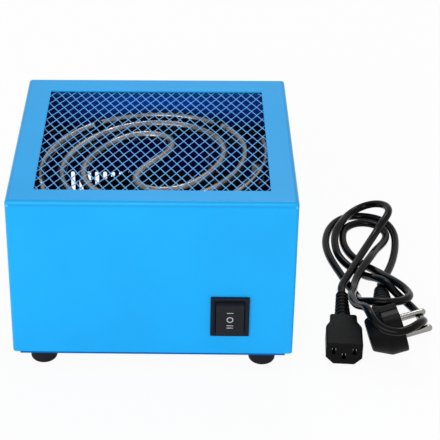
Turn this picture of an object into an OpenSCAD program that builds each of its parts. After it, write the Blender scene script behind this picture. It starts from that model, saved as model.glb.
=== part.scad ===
// Watch dryer: a folded sheet-metal case with a mesh top, an axial fan that blows up through a
// double-spiral tubular heater, a three-position rocker switch and a detachable power lead.
// Millimetres. The origin is on the table, under the middle of the dryer. The front faces -Y.

/* [Case] */
// Width of the case
case_w = 190; // [186:1:200]
// Depth of the case from front panel to rear panel
case_d = 180; // [176:1:190]
// Height of the case without its feet
case_h = 120; // [118:1:130]
// Thickness of the folded sheet
sheet_t = 1.2; // [1:0.1:1.5]
// Outside radius of the folded edges
bend_r = 2.5; // [2:0.1:3.5]

/* [Top window] */
// Frame width at the left and the right of the window
border_side = 17.7; // [16:0.1:20]
// Frame width in front of the window
border_front = 15.5; // [14:0.1:18]
// Frame width behind the window
border_rear = 20; // [18:0.1:22]
// Thickness of the expanded mesh
mesh_t = 1.2; // [1:0.1:1.5]
// Short way of a mesh diamond, across the case
mesh_pitch_x = 7.3; // [7:0.1:8.5]
// Long way of a mesh diamond, front to rear
mesh_pitch_y = 12.8; // [12:0.1:14.5]
// Width of a mesh strand
strand_w = 1.1; // [0.8:0.1:1.4]

/* [Feet] */
// Height of a rubber foot
foot_h = 12; // [11:0.5:16]
// Diameter of a foot where it meets the case
foot_top_d = 18.4; // [17:0.2:20]
// Diameter of a foot on the table
foot_low_d = 15.6; // [14:0.2:16.4]
// Distance from a foot's axis to the side of the case
foot_inset_x = 20; // [18:1:24]
// Distance from a foot's axis to the front or rear of the case
foot_inset_y = 13; // [12:1:16]

/* [Rear vents] */
// Number of vertical slots in the rear panel
slot_count = 10; // [6:1:11]
// Spacing of the slots
slot_pitch = 6.2; // [5.5:0.1:6.4]
// Width of a slot
slot_w = 3; // [2.5:0.1:3.4]
// Top of the slots above the bottom of the case
slot_top = 41; // [36:1:46]
// Length of a slot
slot_len = 27; // [20:1:27]

/* [Fan] */
// Outside diameter of the fan's duct
duct_d = 110; // [106:1:111]
// Height of the fan's duct
duct_h = 39; // [38:1:42]
// Diameter of the fan's hub
hub_d = 48; // [46:1:52]
// Number of blades
blade_count = 7; // [5:1:9]
// Height of the spacers under the fan
spacer_h = 22; // [20:1:24]

/* [Heater] */
// Diameter of the heater's tube
tube_d = 6.4; // [6:0.2:7]
// Depth of the tube's axis below the top of the case
heater_drop = 20.5; // [19:0.5:24]
// Radius that the spiral starts from
spiral_r = 35.5; // [34.8:0.1:35.8]
// Growth of an arm in one turn
spiral_step = 31.7; // [31:0.1:32]
// How far the turns are drawn out into an oval
spiral_oval = 6.6; // [6.2:0.1:6.8]

/* [Switch] */
// Middle of the switch from the middle of the case
switch_x = 52; // [48:1:54]
// Middle of the switch above the bottom of the case
switch_z = 32; // [31:1:36]
// Width of the switch bezel
bezel_w = 26; // [25:0.2:27]
// Height of the switch bezel
bezel_h = 30.6; // [30:0.2:31.4]
// How far the rocker tips to each side, in degrees
rocker_tilt = 10; // [8:1:10]

/* [Power inlet] */
// Middle of the inlet from the middle of the case
inlet_x = 50; // [46:1:54]
// Middle of the inlet above the bottom of the case
inlet_z = 32; // [31:1:36]

/* [Power lead] */
// Diameter of the cord
cord_d = 5.8; // [5.4:0.1:6]
// Diameter of a plug pin
plug_pin_d = 4.8; // [4:0.1:4.8]
// Length of a plug pin
plug_pin_l = 19; // [18:0.5:19]

/* [Hidden] */
$fn = 48;
eps = 0.01;
BLUE = "#29b6fe";
BLACK = "#1c1d22";
STEEL = "#b9bcc0";
DARK = "#3a3c42";
BRASS = "#c9a25a";
WHITE = "#e9e4d8";

// Front and rear projections decide where the case stands, so that the origin is in its middle.
bezel_t = 2.2;
rocker_reach = 5.6;
flange_t = 2.6;
y_mid = (rocker_reach - flange_t) / 2;
y_front = y_mid - case_d / 2;
y_rear = y_mid + case_d / 2;
z_case = foot_h;
z_floor = z_case + sheet_t;
z_top = z_case + case_h;
z_sheet = z_top - sheet_t;
in_x = case_w / 2 - sheet_t;

// Window, mesh and its clamping strips
win_w = case_w - 2 * border_side;
win_d = case_d - border_front - border_rear;
win_y = y_front + border_front + win_d / 2;
mesh_lap = 7;
mesh_w = win_w + 2 * mesh_lap;
mesh_d = win_d + 2 * mesh_lap;
z_mesh = z_sheet - mesh_t;
strip_t = 2;
strip_w = 6;

// Feet and case fasteners
foot_x = case_w / 2 - foot_inset_x;
foot_y = case_d / 2 - foot_inset_y;
foot_recess_d = 9;
foot_recess_h = 5;
m4 = 4;
m3 = 3;
lip_w = 12;
lip_l = 24;
lip_hole_y = 36;
notch = 5;
flange_h = 10;
vent_slots = 12;

// Fan, from its spacers upwards
z_fan = z_floor + spacer_h;
duct_wall = 2.5;
lug_r = 66;
lug_d = 12;
arm_t = 4;
bearing_d = 10;
bearing_h = 4;
shaft_d = 4;
fit = 0.02;
tube_wall = 1.5;
z_hub = z_fan + arm_t;
z_low_bearing = z_hub + 3;
z_up_bearing = z_hub + 20;
z_cup_top = z_hub + 29;
stator_h = 14;
z_stator = z_hub + 6;
stator_d = hub_d - 9;
blade_h = 23;
blade_pitch = 35;
blade_t = 1.6;

// Heater, its rails and its ends
heater_z = z_top - heater_drop;
tube_sides = 10;
tube_low = tube_d / 2 + fit;
rail_y = 55.5;
rail_w = 12;
rail_t = 2;
z_rail = heater_z - tube_low - rail_t;
post_x = case_w / 2 - 8;
oval_dir = 69.6;
spiral_flat = 0.89;
spiral_from = 118;
coil_margin = 9.8;
spiral_to = 360 * (min(case_w, case_d + 10) / 2 - coil_margin - spiral_r) / spiral_step;
leg_r = 9;
leg_drop = 14;
seal_h = 14;
pin_h = 10;

// Switch: the rocker's axis runs along X, just in front of the panel.
z_switch = z_case + switch_z;
axis_y = y_front - 0.5;
rocker_r = 12.4;
rocker_w = 18.6;
cavity_w = 19;
cavity_h = 2 * rocker_r + 0.8;
cavity_depth = 16;
switch_depth = 20;
tab_l = 8;
lever_y = axis_y + 12.4;

// Inlet
z_inlet = z_case + inlet_z;
inlet_body_w = 27.4;
inlet_body_h = 19.8;
inlet_depth = 18;
recess_w = 24.6;
recess_h = 16.8;
recess_depth = 16.5;
inlet_hole_x = 20;
blade_x = 7;
blade_z = 2;

// Terminal block and cut-out
block_l = 40;
block_x = -25;
block_w = 16;
block_h = 14;
block_y = y_front + 17;
cutout_x = case_w / 2 - 35;
stud_x = case_w / 2 - 20;
stud_y = 48;
stud_h = 13;

// Power lead, laid to the right of the case
lead_x = case_w / 2 + 36;
nose_y = -82;
nose_w = 25;
nose_h = 17;
body_l = 38;
relief_l = 35;
lead_turn = 3.7;
cord_z = 8.6;
lead_l = body_l + relief_l;
cord_start = [lead_x + lead_l * sin(lead_turn), nose_y + lead_l * cos(lead_turn), cord_z];
plug_turn = 6;
plug_lift = 16;
plug_r = 17;
plug_back_r = 11;
plug_flat = 14.5;
plug_disc = 12;
flat_end = plug_disc * (1 + (plug_r - plug_flat) / (plug_r - plug_back_r));
plug_dir = [cos(plug_turn) * cos(plug_lift), sin(plug_turn) * cos(plug_lift), sin(plug_lift)];
plug_at = [case_w / 2 + 77, -62.8, flat_end * sin(plug_lift) + plug_flat * cos(plug_lift)];
neck_at = plug_at - plug_disc * plug_dir;
boot_end = [case_w / 2 + 70.5, 0.5, 6];
neck_share = 0.5;

// Route of the cord between the connector's relief and the plug's boot: x from the side of the
// case, y, and height.
CORD_ROUTE = [
    [49, 17, 9.5], [56, 34, 9.2], [64, 51, 10], [72, 67, 11], [78.5, 77, 16], [86, 87, 20],
    [86, 99.5, 19], [78, 109.5, 15.5], [66, 111.5, 10.5], [55.5, 104, 7.5], [50.5, 92.5, 8.5],
    [46, 84, 8.5], [42.5, 73, 6.5], [42, 60, 5.5], [43.5, 48, 4.5], [49, 38, 3], [56, 29.5, 3],
    [62, 20.5, 4], [66.5, 6.5, 13], [73, -4.5, 16.5], [79, -12.5, 12], [86, -18, 8.5],
    [91, -28, 8.5], [93.5, -43, 12], [91.5, -56, 17], [91.5, -65.5, 26], [87, -74, 30],
    [80, -81, 29.5], [70, -83.5, 27.5], [59, -80, 29], [53, -71, 33.5], [52, -58.5, 33],
    [47, -44.5, 22], [44.5, -25.5, 19], [49, -10.5, 12.5], [51, 4, 10], [58, 21.5, 11],
    [66.5, 37, 11], [72, 54, 6.5], [81.5, 71, 3], [85, 84.5, 3], [77, 97.5, 3.5], [62, 99.5, 3.5],
    [51.5, 90.5, 3], [49.5, 79, 3], [49, 68, 3], [52, 54, 3], [58, 43.5, 3], [64, 36, 3],
    [70, 20, 9], [75.5, 4.5, 14], [82, -7.5, 17], [87, -20.5, 18.5], [86.5, -31.5, 22],
    [80, -40, 24], [70, -44, 25.5], [58, -41, 24.5], [49, -31, 17], [54, -9.5, 5.5], [48.5, 6.5, 3],
    [44, 24, 3], [39, 40, 3], [35.5, 57, 3], [35.5, 74, 3], [40, 91, 3], [47, 102, 3], [56, 109, 3],
    [65.5, 110, 3], [75, 106.5, 4], [84.5, 97.5, 6], [90, 86.5, 3.5], [90, 73, 3], [87.5, 57, 3],
    [83, 39.5, 3], [77, 24, 3.5]
];

// Vectors, curves and swept tubes

function unit(v) = v / norm(v);
function turned(p, a) = [p.x * cos(a) - p.y * sin(a), p.x * sin(a) + p.y * cos(a), p.z];

// Smooth curve guided by a list of points, through the first and the last of them
function guide(p) = concat([2 * p[0] - p[1]], p, [2 * p[len(p) - 1] - p[len(p) - 2]]);
function span(g, i, t) =
    (pow(1 - t, 3) * g[i] + (3 * pow(t, 3) - 6 * t * t + 4) * g[i + 1]
    + (-3 * pow(t, 3) + 3 * t * t + 3 * t + 1) * g[i + 2] + pow(t, 3) * g[i + 3]) / 6;
function smooth(p, steps) =
    let (g = guide(p))
    concat([for (i = [0:len(p) - 2], k = [0:steps - 1]) span(g, i, k / steps)], [p[len(p) - 1]]);

function heading(p, i) = unit(p[min(i + 1, len(p) - 1)] - p[max(i - 1, 0)]);
function square_to(n, t) = unit(n - (n * t) * t);
function carried(dirs, n, i = 0, out = []) =
    i == len(dirs) ? out
    : let (m = square_to(n, dirs[i])) carried(dirs, m, i + 1, concat(out, [m]));

// Tube of radius r along a list of points, with one ring at each point
module sweep(p, r, sides, up = [0, 0, 1]) {
    dirs = [for (i = [0:len(p) - 1]) heading(p, i)];
    ups = carried(dirs, up);
    rings = [for (i = [0:len(p) - 1], k = [0:sides - 1])
        let (a = (k + 0.5) * 360 / sides - 90)
        p[i] + r * (cos(a) * cross(dirs[i], ups[i]) + sin(a) * ups[i])];
    last = (len(p) - 1) * sides;
    faces = concat(
        [[for (k = [sides - 1:-1:0]) k]],
        [[for (k = [0:sides - 1]) last + k]],
        [for (i = [0:len(p) - 2], k = [0:sides - 1])
            let (a = i * sides + k, b = i * sides + (k + 1) % sides)
            [a, b, a + sides]],
        [for (i = [0:len(p) - 2], k = [0:sides - 1])
            let (a = i * sides + k, b = i * sides + (k + 1) % sides)
            [b, b + sides, a + sides]]);
    polyhedron(points = rings, faces = faces, convexity = 8);
}

// Shared shapes

module rounded_rect(w, d, r) {
    square([w - 2 * r, d], center = true);
    square([w, d - 2 * r], center = true);
    for (sx = [-1, 1], sy = [-1, 1])
        translate([sx * (w / 2 - r), sy * (d / 2 - r)]) circle(r);
}

// Box on z = 0 with rounded upright and top edges and a sharp lower rim
module folded_box(w, d, h, r) {
    linear_extrude(h - r) rounded_rect(w, d, r);
    translate([r - w / 2, r - d / 2, 0]) cube([w - 2 * r, d - 2 * r, h]);
    for (s = [-1, 1]) {
        translate([s * (w / 2 - r), 0, h - r]) rotate([90, 0, 0])
            cylinder(r = r, h = d - 2 * r, center = true);
        translate([0, s * (d / 2 - r), h - r]) rotate([0, 90, 0])
            cylinder(r = r, h = w - 2 * r, center = true);
    }
    for (sx = [-1, 1], sy = [-1, 1])
        translate([sx * (w / 2 - r), sy * (d / 2 - r), h - r]) sphere(r);
}

module slot_2d(l, w) {
    square([w, l - w], center = true);
    for (s = [-1, 1]) translate([0, s * (l - w) / 2]) circle(d = w);
}

// Screw with its head on z = 0 and its shank pointing up
module screw_up(d, l, head_d, head_h) {
    translate([0, 0, -head_h]) cylinder(d = head_d, h = head_h);
    translate([0, 0, -eps]) cylinder(d = d, h = l + eps);
}

module nut(af, h, bore) {
    difference() {
        cylinder(d = af / cos(30), h = h, $fn = 6);
        translate([0, 0, -1]) cylinder(d = bore, h = h + 2);
    }
}

module at_feet() {
    for (sx = [-1, 1], sy = [-1, 1]) translate([sx * foot_x, y_mid + sy * foot_y, 0]) children();
}

module at_lugs() {
    for (a = [45:90:315]) translate([lug_r * cos(a), y_mid + lug_r * sin(a), 0]) children();
}

module at_posts() {
    for (sx = [-1, 1], sy = [-1, 1]) translate([sx * post_x, y_mid + sy * rail_y, 0]) children();
}

module at_lips() {
    for (sx = [-1, 1], sy = [-1, 1])
        translate([sx * (in_x - lip_w / 2), y_mid + sy * lip_hole_y, 0]) children();
}

// Case

module cover() color(BLUE) {
    difference() {
        translate([0, y_mid, z_floor]) difference() {
            folded_box(case_w, case_d, z_top - z_floor, bend_r);
            translate([0, 0, -1])
                folded_box(2 * in_x, case_d - 2 * sheet_t, z_sheet - z_floor + 1, bend_r - sheet_t);
        }
        translate([0, win_y, z_sheet]) cube([win_w, win_d, 4 * sheet_t], center = true);
        translate([switch_x, y_front, z_switch])
            cube([bezel_w - 4, 4 * sheet_t, bezel_h - 3], center = true);
        translate([inlet_x, y_rear, z_inlet])
            cube([inlet_body_w, 4 * sheet_t, inlet_body_h], center = true);
        for (s = [-1, 1])
            translate([inlet_x + s * inlet_hole_x, y_rear + 1, z_inlet]) rotate([90, 0, 0])
                cylinder(d = m3 + 0.4, h = 4 * sheet_t);
        for (i = [0:slot_count - 1])
            translate([8 - case_w / 2 + 22 + i * slot_pitch, y_rear + 2, z_case + slot_top - slot_len / 2])
                rotate([90, 0, 0]) linear_extrude(4 * sheet_t) slot_2d(slot_len, slot_w);
    }
    // Folded lips that the base is screwed to
    for (sx = [-1, 1], sy = [-1, 1])
        translate([sx * (in_x - lip_w / 2), y_mid + sy * lip_hole_y, z_floor]) difference() {
            translate([sx * eps - lip_w / 2, -lip_l / 2, 0]) cube([lip_w, lip_l, sheet_t]);
            translate([0, 0, -1]) cylinder(d = m3 + 0.1, h = 4 * sheet_t);
        }
}

// Expanded metal: a sheet with rows of diamond openings, every second row shifted by half
module mesh_grille() color("#7fc4f0") {
    keep = 1 - strand_w / 2 * norm([mesh_pitch_x, mesh_pitch_y]) / (mesh_pitch_x * mesh_pitch_y / 2);
    hx = mesh_pitch_x / 2 * keep;
    hy = mesh_pitch_y / 2 * keep;
    nx = floor((win_w / 2 + 1) / mesh_pitch_x);
    ny = floor((win_d / 2 + 1) / mesh_pitch_y);
    translate([0, win_y, z_mesh]) linear_extrude(mesh_t) difference() {
        square([mesh_w, mesh_d], center = true);
        for (row = [0, 1], i = [-nx - row:nx], j = [-ny - row:ny])
            translate([(i + row / 2) * mesh_pitch_x, (j + row / 2) * mesh_pitch_y])
                polygon([[hx, 0], [0, hy], [-hx, 0], [0, -hy]]);
    }
}

module strip(l, x, y, turn) color(STEEL)
    translate([x, win_y + y, z_mesh - strip_t / 2]) rotate([0, 0, turn])
        cube([l, strip_w, strip_t], center = true);

module strip_left() strip(mesh_d, strip_w / 2 - mesh_w / 2, 0, 90);
module strip_right() strip(mesh_d, mesh_w / 2 - strip_w / 2, 0, 90);
module strip_front() strip(mesh_w - 2 * strip_w, 0, strip_w / 2 - mesh_d / 2, 0);
module strip_rear() strip(mesh_w - 2 * strip_w, 0, mesh_d / 2 - strip_w / 2, 0);

module base_tray() color("#1f7fd0") {
    difference() {
        translate([0, y_mid, z_case]) linear_extrude(sheet_t) difference() {
            square([case_w, case_d], center = true);
            for (sx = [-1, 1], sy = [-1, 1])
                translate([sx * case_w / 2, sy * case_d / 2]) square(2 * notch, center = true);
            for (i = [0:vent_slots - 1])
                rotate(i * 360 / vent_slots) translate([0, duct_d / 2 - 22]) slot_2d(30, 7);
        }
        at_feet() translate([0, 0, z_case - 1]) cylinder(d = m4 + 0.3, h = 4);
        at_lugs() translate([0, 0, z_case - 1]) cylinder(d = m4 + 0.3, h = 4);
        at_posts() translate([0, 0, z_case - 1]) cylinder(d = m3 + 0.3, h = 4);
        at_lips() translate([0, 0, z_case - 1]) cylinder(d = m3 + 0.4, h = 4);
    }
    for (s = [-1, 1])
        translate([0, y_mid + s * (case_d / 2 - 1.5 * sheet_t), z_floor + flange_h / 2 - eps])
            cube([case_w - 40, sheet_t, flange_h], center = true);
}

// Tapered rubber foot with a rounded tread and a recess for its screw
module foot(sx, sy) color(BLACK)
    translate([sx * foot_x, y_mid + sy * foot_y, 0]) rotate_extrude($fn = 64) difference() {
        union() {
            polygon([
                [0, 0], [foot_low_d / 2 - 1.5, 0], [foot_low_d / 2, 1.5],
                [foot_top_d / 2, foot_h], [0, foot_h]
            ]);
            translate([foot_low_d / 2 - 1.5, 1.5]) circle(1.5);
        }
        translate([-5, -1]) square([5, foot_h + 2]);
        translate([-1, -1]) square([foot_recess_d / 2 + 1, foot_recess_h + 1]);
        translate([-1, -1]) square([m4 / 2 + 1.1, foot_h + 2]);
    }

module foot_front_left() foot(-1, -1);
module foot_front_right() foot(1, -1);
module foot_rear_left() foot(-1, 1);
module foot_rear_right() foot(1, 1);

module foot_screws() color(STEEL)
    at_feet() translate([0, 0, foot_recess_h]) screw_up(m4, foot_h - foot_recess_h + sheet_t + 5, 7.6, 2.6);

// Nuts of the feet, the fan and the earth stud
module m4_nuts() color(STEEL) {
    at_feet() translate([0, 0, z_floor]) nut(7, 3.2, m4 + 0.1);
    at_lugs() translate([0, 0, z_fan + arm_t]) nut(7, 3.2, m4 + 0.1);
    translate([stud_x, stud_y, z_floor]) nut(7, 3.2, m4 + 0.1);
}

module cover_screws() color(STEEL) at_lips() translate([0, 0, z_case]) screw_up(m3, 6, 5.6, 2);

// Fan

// Round duct with four lugs, and a spider below the blades that carries the motor
module fan_housing() color(DARK) {
    translate([0, y_mid, z_fan]) linear_extrude(arm_t) {
        difference() {
            union() {
                circle(d = duct_d, $fn = 96);
                for (a = [45:90:315]) rotate(a) {
                    translate([lug_r, 0]) circle(d = lug_d);
                    translate([lug_r / 2, 0]) square([lug_r, lug_d - 2], center = true);
                }
            }
            circle(d = duct_d - 2 * duct_wall, $fn = 96);
            for (a = [45:90:315]) rotate(a) translate([lug_r, 0]) circle(d = m4 + 0.3);
        }
        for (a = [20:90:290]) rotate(a)
            translate([duct_d / 4, 0]) square([duct_d / 2 - duct_wall, 6], center = true);
        circle(d = hub_d - 8);
    }
    translate([0, y_mid, z_fan + arm_t]) linear_extrude(duct_h - arm_t) difference() {
        circle(d = duct_d, $fn = 96);
        circle(d = duct_d - 2 * duct_wall, $fn = 96);
    }
    translate([0, y_mid, z_hub]) linear_extrude(z_up_bearing + bearing_h + 1 - z_hub) difference() {
        circle(d = bearing_d + 2 * tube_wall);
        circle(d = bearing_d);
    }
}

module fan_spacers() color(BRASS) at_lugs() translate([0, 0, z_floor]) nut(8, spacer_h, m4 + 0.1);

module fan_screws() color(STEEL)
    at_lugs() translate([0, 0, z_case]) screw_up(m4, sheet_t + spacer_h + arm_t + 4.5, 7.6, 2.6);

// Cup with flat pitched blades, trimmed to the duct
module fan_rotor() color("#26272b") translate([0, y_mid, 0]) {
    difference() {
        translate([0, 0, z_hub + 4]) cylinder(d = hub_d, h = z_cup_top - z_hub - 4);
        translate([0, 0, z_hub + 3]) cylinder(d = hub_d - 5, h = z_cup_top - z_hub - 5.5);
        translate([0, 0, z_hub]) cylinder(d = shaft_d - 0.02, h = 40);
    }
    intersection() {
        difference() {
            translate([0, 0, z_hub + 2]) cylinder(d = duct_d - 2 * duct_wall - 3, h = 60, $fn = 96);
            cylinder(d = hub_d - 2, h = 200);
        }
        for (i = [0:blade_count - 1])
            rotate(i * 360 / blade_count)
                translate([duct_d / 4 + 8, 0, z_hub + 5 + blade_h / 2]) rotate([blade_pitch, 0, 0])
                    cube([duct_d / 2, blade_h / sin(blade_pitch) - 4, blade_t], center = true);
    }
}

module fan_shaft() color(STEEL) translate([0, y_mid, 0]) difference() {
    translate([0, 0, z_hub + 0.3]) cylinder(d = shaft_d - 2 * fit, h = z_cup_top - z_hub - 0.3);
    translate([0, 0, z_low_bearing - 1.2]) difference() {
        cylinder(d = shaft_d + 1, h = 0.8);
        translate([0, 0, -1]) cylinder(d = shaft_d - 1, h = 3);
    }
}

module shaft_clip() color(STEEL) translate([0, y_mid, z_low_bearing - 1.15]) difference() {
    cylinder(d = 7.6, h = 0.7);
    translate([0, 0, -1]) cylinder(d = shaft_d - 0.9, h = 3);
    translate([0, -1.2, -1]) cube([6, 2.4, 3]);
}

module bearing(z) color("#8f8a80") translate([0, y_mid, z]) difference() {
    cylinder(d = bearing_d - 2 * fit, h = bearing_h);
    translate([0, 0, -1]) cylinder(d = shaft_d, h = bearing_h + 2);
}

module bearing_lower() bearing(z_low_bearing);
module bearing_upper() bearing(z_up_bearing);

module stator_core() color("#6d7076") translate([0, y_mid, z_stator]) difference() {
    cylinder(d = stator_d, h = stator_h);
    translate([0, 0, -1]) cylinder(d = bearing_d + 2 * tube_wall + 2 * fit, h = stator_h + 2);
    for (a = [0:60:300]) rotate(a) translate([stator_d / 2 - 4, 0, -1]) cylinder(d = 5, h = stator_h + 2);
}

module stator_coils() color("#b4622d") for (z = [z_stator - 2.5, z_stator + stator_h])
    translate([0, y_mid, z]) difference() {
        cylinder(d = stator_d - 14, h = 2.5);
        translate([0, 0, -1]) cylinder(d = bearing_d + 2 * tube_wall + 1, h = 5);
    }

// Heater: two arms, half a turn apart, joined by a bend in the middle

function spiral_radius(t) = spiral_r + spiral_step * t / 360 + spiral_oval * cos(2 * (t - oval_dir));
function spiral_point(t) = [spiral_radius(t) * cos(t), spiral_flat * spiral_radius(t) * sin(t), 0];
function spiral_dir(t) = unit(spiral_point(t + 0.5) - spiral_point(t - 0.5));
function bezier(p, t) = pow(1 - t, 3) * p[0] + 3 * t * pow(1 - t, 2) * p[1] + 3 * t * t * (1 - t) * p[2]
    + pow(t, 3) * p[3];
middle_bend = [
    [0, 0, 0],
    47 * [cos(50), sin(50), 0],
    spiral_point(spiral_from) - 22 * spiral_dir(spiral_from),
    spiral_point(spiral_from)
];
leg_dir = spiral_dir(spiral_to);
leg_at = spiral_point(spiral_to) + leg_r * leg_dir;
arm_path = concat(
    [for (k = [1:8]) bezier(middle_bend, k / 9)],
    [for (k = [0:50]) spiral_point(spiral_from + (spiral_to - spiral_from) * k / 50)],
    [for (a = [22.5:22.5:90])
        spiral_point(spiral_to) + leg_r * (sin(a) * leg_dir - (1 - cos(a)) * [0, 0, 1])],
    [leg_at - [0, 0, leg_r + leg_drop]]);
other_arm = [for (i = [len(arm_path) - 1:-1:0]) turned(arm_path[i], 180)];
z_leg = heater_z - leg_r - leg_drop;

module heater_tube() color("#a89c8c") translate([0, y_mid, heater_z])
    sweep(concat(other_arm, arm_path), tube_d / 2, tube_sides, up = spiral_dir(spiral_to));

module at_legs() for (a = [0, 180]) translate([0, y_mid, z_leg] + turned(leg_at, a)) children();

module heater_seals() color(WHITE) at_legs() translate([0, 0, -seal_h]) cylinder(d = 10, h = seal_h);

module heater_pins() color(STEEL) at_legs() translate([0, 0, -seal_h - pin_h]) cylinder(d = 3, h = pin_h);

module rail(s) color(STEEL) difference() {
    translate([0, y_mid + s * rail_y, z_rail + rail_t / 2])
        cube([2 * post_x + 8, rail_w, rail_t], center = true);
    at_posts() translate([0, 0, z_rail - 1]) cylinder(d = m3 + 0.3, h = 4);
}

module rail_front() rail(-1);
module rail_rear() rail(1);

module rail_posts() color(STEEL) at_posts() difference() {
    translate([0, 0, z_floor]) cylinder(d = 6.4, h = z_rail - z_floor);
    for (z = [z_floor - 1, z_rail - 12]) translate([0, 0, z]) cylinder(d = m3 + 0.1, h = 13);
}

module rail_screws() color(STEEL) at_posts() {
    translate([0, 0, z_case]) screw_up(m3, 9, 5.4, 1.8);
    translate([0, 0, z_rail + rail_t]) mirror([0, 0, 1]) screw_up(m3, 9, 5.4, 1.8);
}

// Saddle clip over the tube, its feet on the rail
module clip() rotate([90, 0, 90]) linear_extrude(5, center = true) {
    inner = tube_d / 2 + 0.35;
    difference() {
        union() {
            circle(inner + 0.9);
            translate([0, -tube_low / 2]) square([2 * inner + 1.8, tube_low], center = true);
            translate([0, 0.5 - tube_low]) square([2 * inner + 7, 1], center = true);
        }
        circle(inner);
        translate([0, -10]) square([2 * inner, 20], center = true);
        translate([0, -tube_low - 10]) square([40, 20], center = true);
    }
}

// Turns at which an arm of the heater crosses a rail
function crossing(lo, hi, n = 20) =
    let (mid = (lo + hi) / 2)
    n == 0 ? mid
    : (spiral_point(mid).y > rail_y) == (spiral_point(lo).y > rail_y) ? crossing(mid, hi, n - 1)
    : crossing(lo, mid, n - 1);
clip_turns = [for (t = [crossing(360, 440), crossing(460, 540)]) if (t < spiral_to - 20) t];

module heater_clips() color(STEEL) for (a = [0, 180], t = clip_turns) {
    dir = turned(spiral_dir(t), a);
    translate([0, y_mid, heater_z] + turned(spiral_point(t), a)) rotate(atan2(dir.y, dir.x)) clip();
}

// Snap-disc cut-out under the rear rail
module thermal_cutout() color("#5a4632") translate([cutout_x, y_mid + rail_y, 0]) {
    translate([0, 0, z_rail - 2]) cylinder(d = 15, h = 2);
    translate([0, 0, z_rail - 9]) cylinder(d = 12, h = 7.5);
    translate([0, 0, z_rail - 6]) cube([20, 4, 1], center = true);
}

module terminal_block() color(WHITE) translate([block_x, block_y, z_floor]) difference() {
    translate([-block_l / 2, -block_w / 2, 0]) cube([block_l, block_w, block_h]);
    for (i = [-1:1]) {
        translate([i * 13, block_w, 7]) rotate([90, 0, 0]) cylinder(d = 4, h = block_w);
        translate([i * 13, 3, 8]) cylinder(d = 5, h = block_h);
    }
}

module terminal_screws() color(BRASS) for (i = [-1:1])
    translate([block_x + i * 13, block_y + 3, z_floor + 9.2]) cylinder(d = 5 - 2 * fit, h = 3.4);

module earth_stud() color(STEEL) translate([stud_x, stud_y, z_floor]) cylinder(d = m4, h = stud_h);

// Inside wiring: each wire ends a little short of its tab, pin or stud.

module wire(route, colour) color(colour) sweep(smooth(route, 3), 1.2, 8);

wire_gap = 0.3;
inlet_tab_y = y_rear - inlet_depth - tab_l;
switch_tab_y = y_front + switch_depth + tab_l;
block_face = block_y + block_w / 2;
side_x = case_w / 2 - 20;
behind_fan = y_rear - 24;
lug_xy = lug_r / sqrt(2);
z_block = z_floor + 7;

module wire_live() wire([
    [inlet_x + blade_x, inlet_tab_y - wire_gap, z_inlet - blade_z],
    [inlet_x + blade_x, inlet_tab_y - 5, z_inlet - blade_z],
    [inlet_x + 16, inlet_tab_y - 10, z_inlet - 10], [side_x - 4, 26, 24], [side_x - 4, -26, 24],
    [side_x - 10, -48, 30],
    [switch_x + 5, switch_tab_y + 9, z_switch], [switch_x + 5, switch_tab_y + wire_gap, z_switch]
], "#6b3a1e");

module wire_neutral() wire([
    [inlet_x - blade_x, inlet_tab_y - wire_gap, z_inlet - blade_z],
    [inlet_x - blade_x, inlet_tab_y - 4, z_inlet - blade_z],
    [inlet_x - 22, behind_fan, z_inlet - 14], [0, behind_fan, 21], [8 - side_x, behind_fan - 4, 18],
    [-side_x, 36, 18], [-side_x, -14, 18], [-side_x + 2, -46, 17], [-side_x + 14, block_face + 5, 16],
    [block_x - 15, block_face + 6, 17], [block_x - 13, block_face + 6, z_block],
    [block_x - 13, block_face + wire_gap, z_block]
], "#3558a8");

module wire_earth() wire([
    [inlet_x, inlet_tab_y - wire_gap, z_inlet + blade_z], [inlet_x, inlet_tab_y - 8, z_inlet + 4],
    [inlet_x + 14, stud_y + 4, z_inlet + 2], [stud_x - 2, stud_y, z_inlet - 2],
    [stud_x, stud_y, z_floor + stud_h + 7], [stud_x, stud_y, z_floor + stud_h + wire_gap]
], "#6fae3c");

module wire_switched() wire([
    [switch_x - 5, switch_tab_y + wire_gap, z_switch + 8], [switch_x - 5, switch_tab_y + 7, z_switch + 8],
    [switch_x, -46, z_rail - 30], [switch_x, -16, z_rail - 14], [cutout_x - 24, 8, z_rail - 7],
    [cutout_x - 20, y_mid + rail_y, z_rail - 6], [cutout_x - 10 - wire_gap, y_mid + rail_y, z_rail - 6]
], "#6b3a1e");

pin_foot = [0, y_mid, z_leg - seal_h - pin_h - wire_gap] + turned(leg_at, 180);
far_foot = [0, y_mid, z_leg - seal_h - pin_h - wire_gap] + leg_at;

module wire_cutout() wire([
    [cutout_x + 10 + wire_gap, y_mid + rail_y, z_rail - 6], [cutout_x + 18, y_mid + rail_y, z_rail - 6],
    [cutout_x + 18, y_mid + rail_y + 4, z_rail - 22],
    [pin_foot.x + 9, (pin_foot.y + y_mid + rail_y) / 2, z_rail - 24],
    [pin_foot.x + 9, pin_foot.y, pin_foot.z + 12],
    [pin_foot.x + 7, pin_foot.y, pin_foot.z - 14], [pin_foot.x, pin_foot.y, pin_foot.z - 12], pin_foot
], "#b03a2e");

module wire_heater() wire([
    [block_x, block_face + wire_gap, z_block], [block_x, block_face + 7, z_block],
    [-lug_xy - 10, -lug_xy - 6, 25], [far_foot.x + 4, far_foot.y - 4, 34],
    [far_foot.x, far_foot.y, far_foot.z - 14], far_foot
], "#b03a2e");

module wire_fan() wire([
    [block_x + 13, block_face + wire_gap, z_block], [block_x + 13, block_face + 8, z_block],
    [-14, -30, 25], [-8, y_mid - 12, z_fan - 14], [-6, y_mid - 6, z_fan - 8],
    [-6, y_mid - 6, z_fan - wire_gap]
], "#2f2f33");

// Rocker switch

module at_axis() translate([switch_x, axis_y, z_switch]) children();

module switch_body() color("#1a1b22") {
    lever_ridge();
    switch_housing();
}

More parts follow.
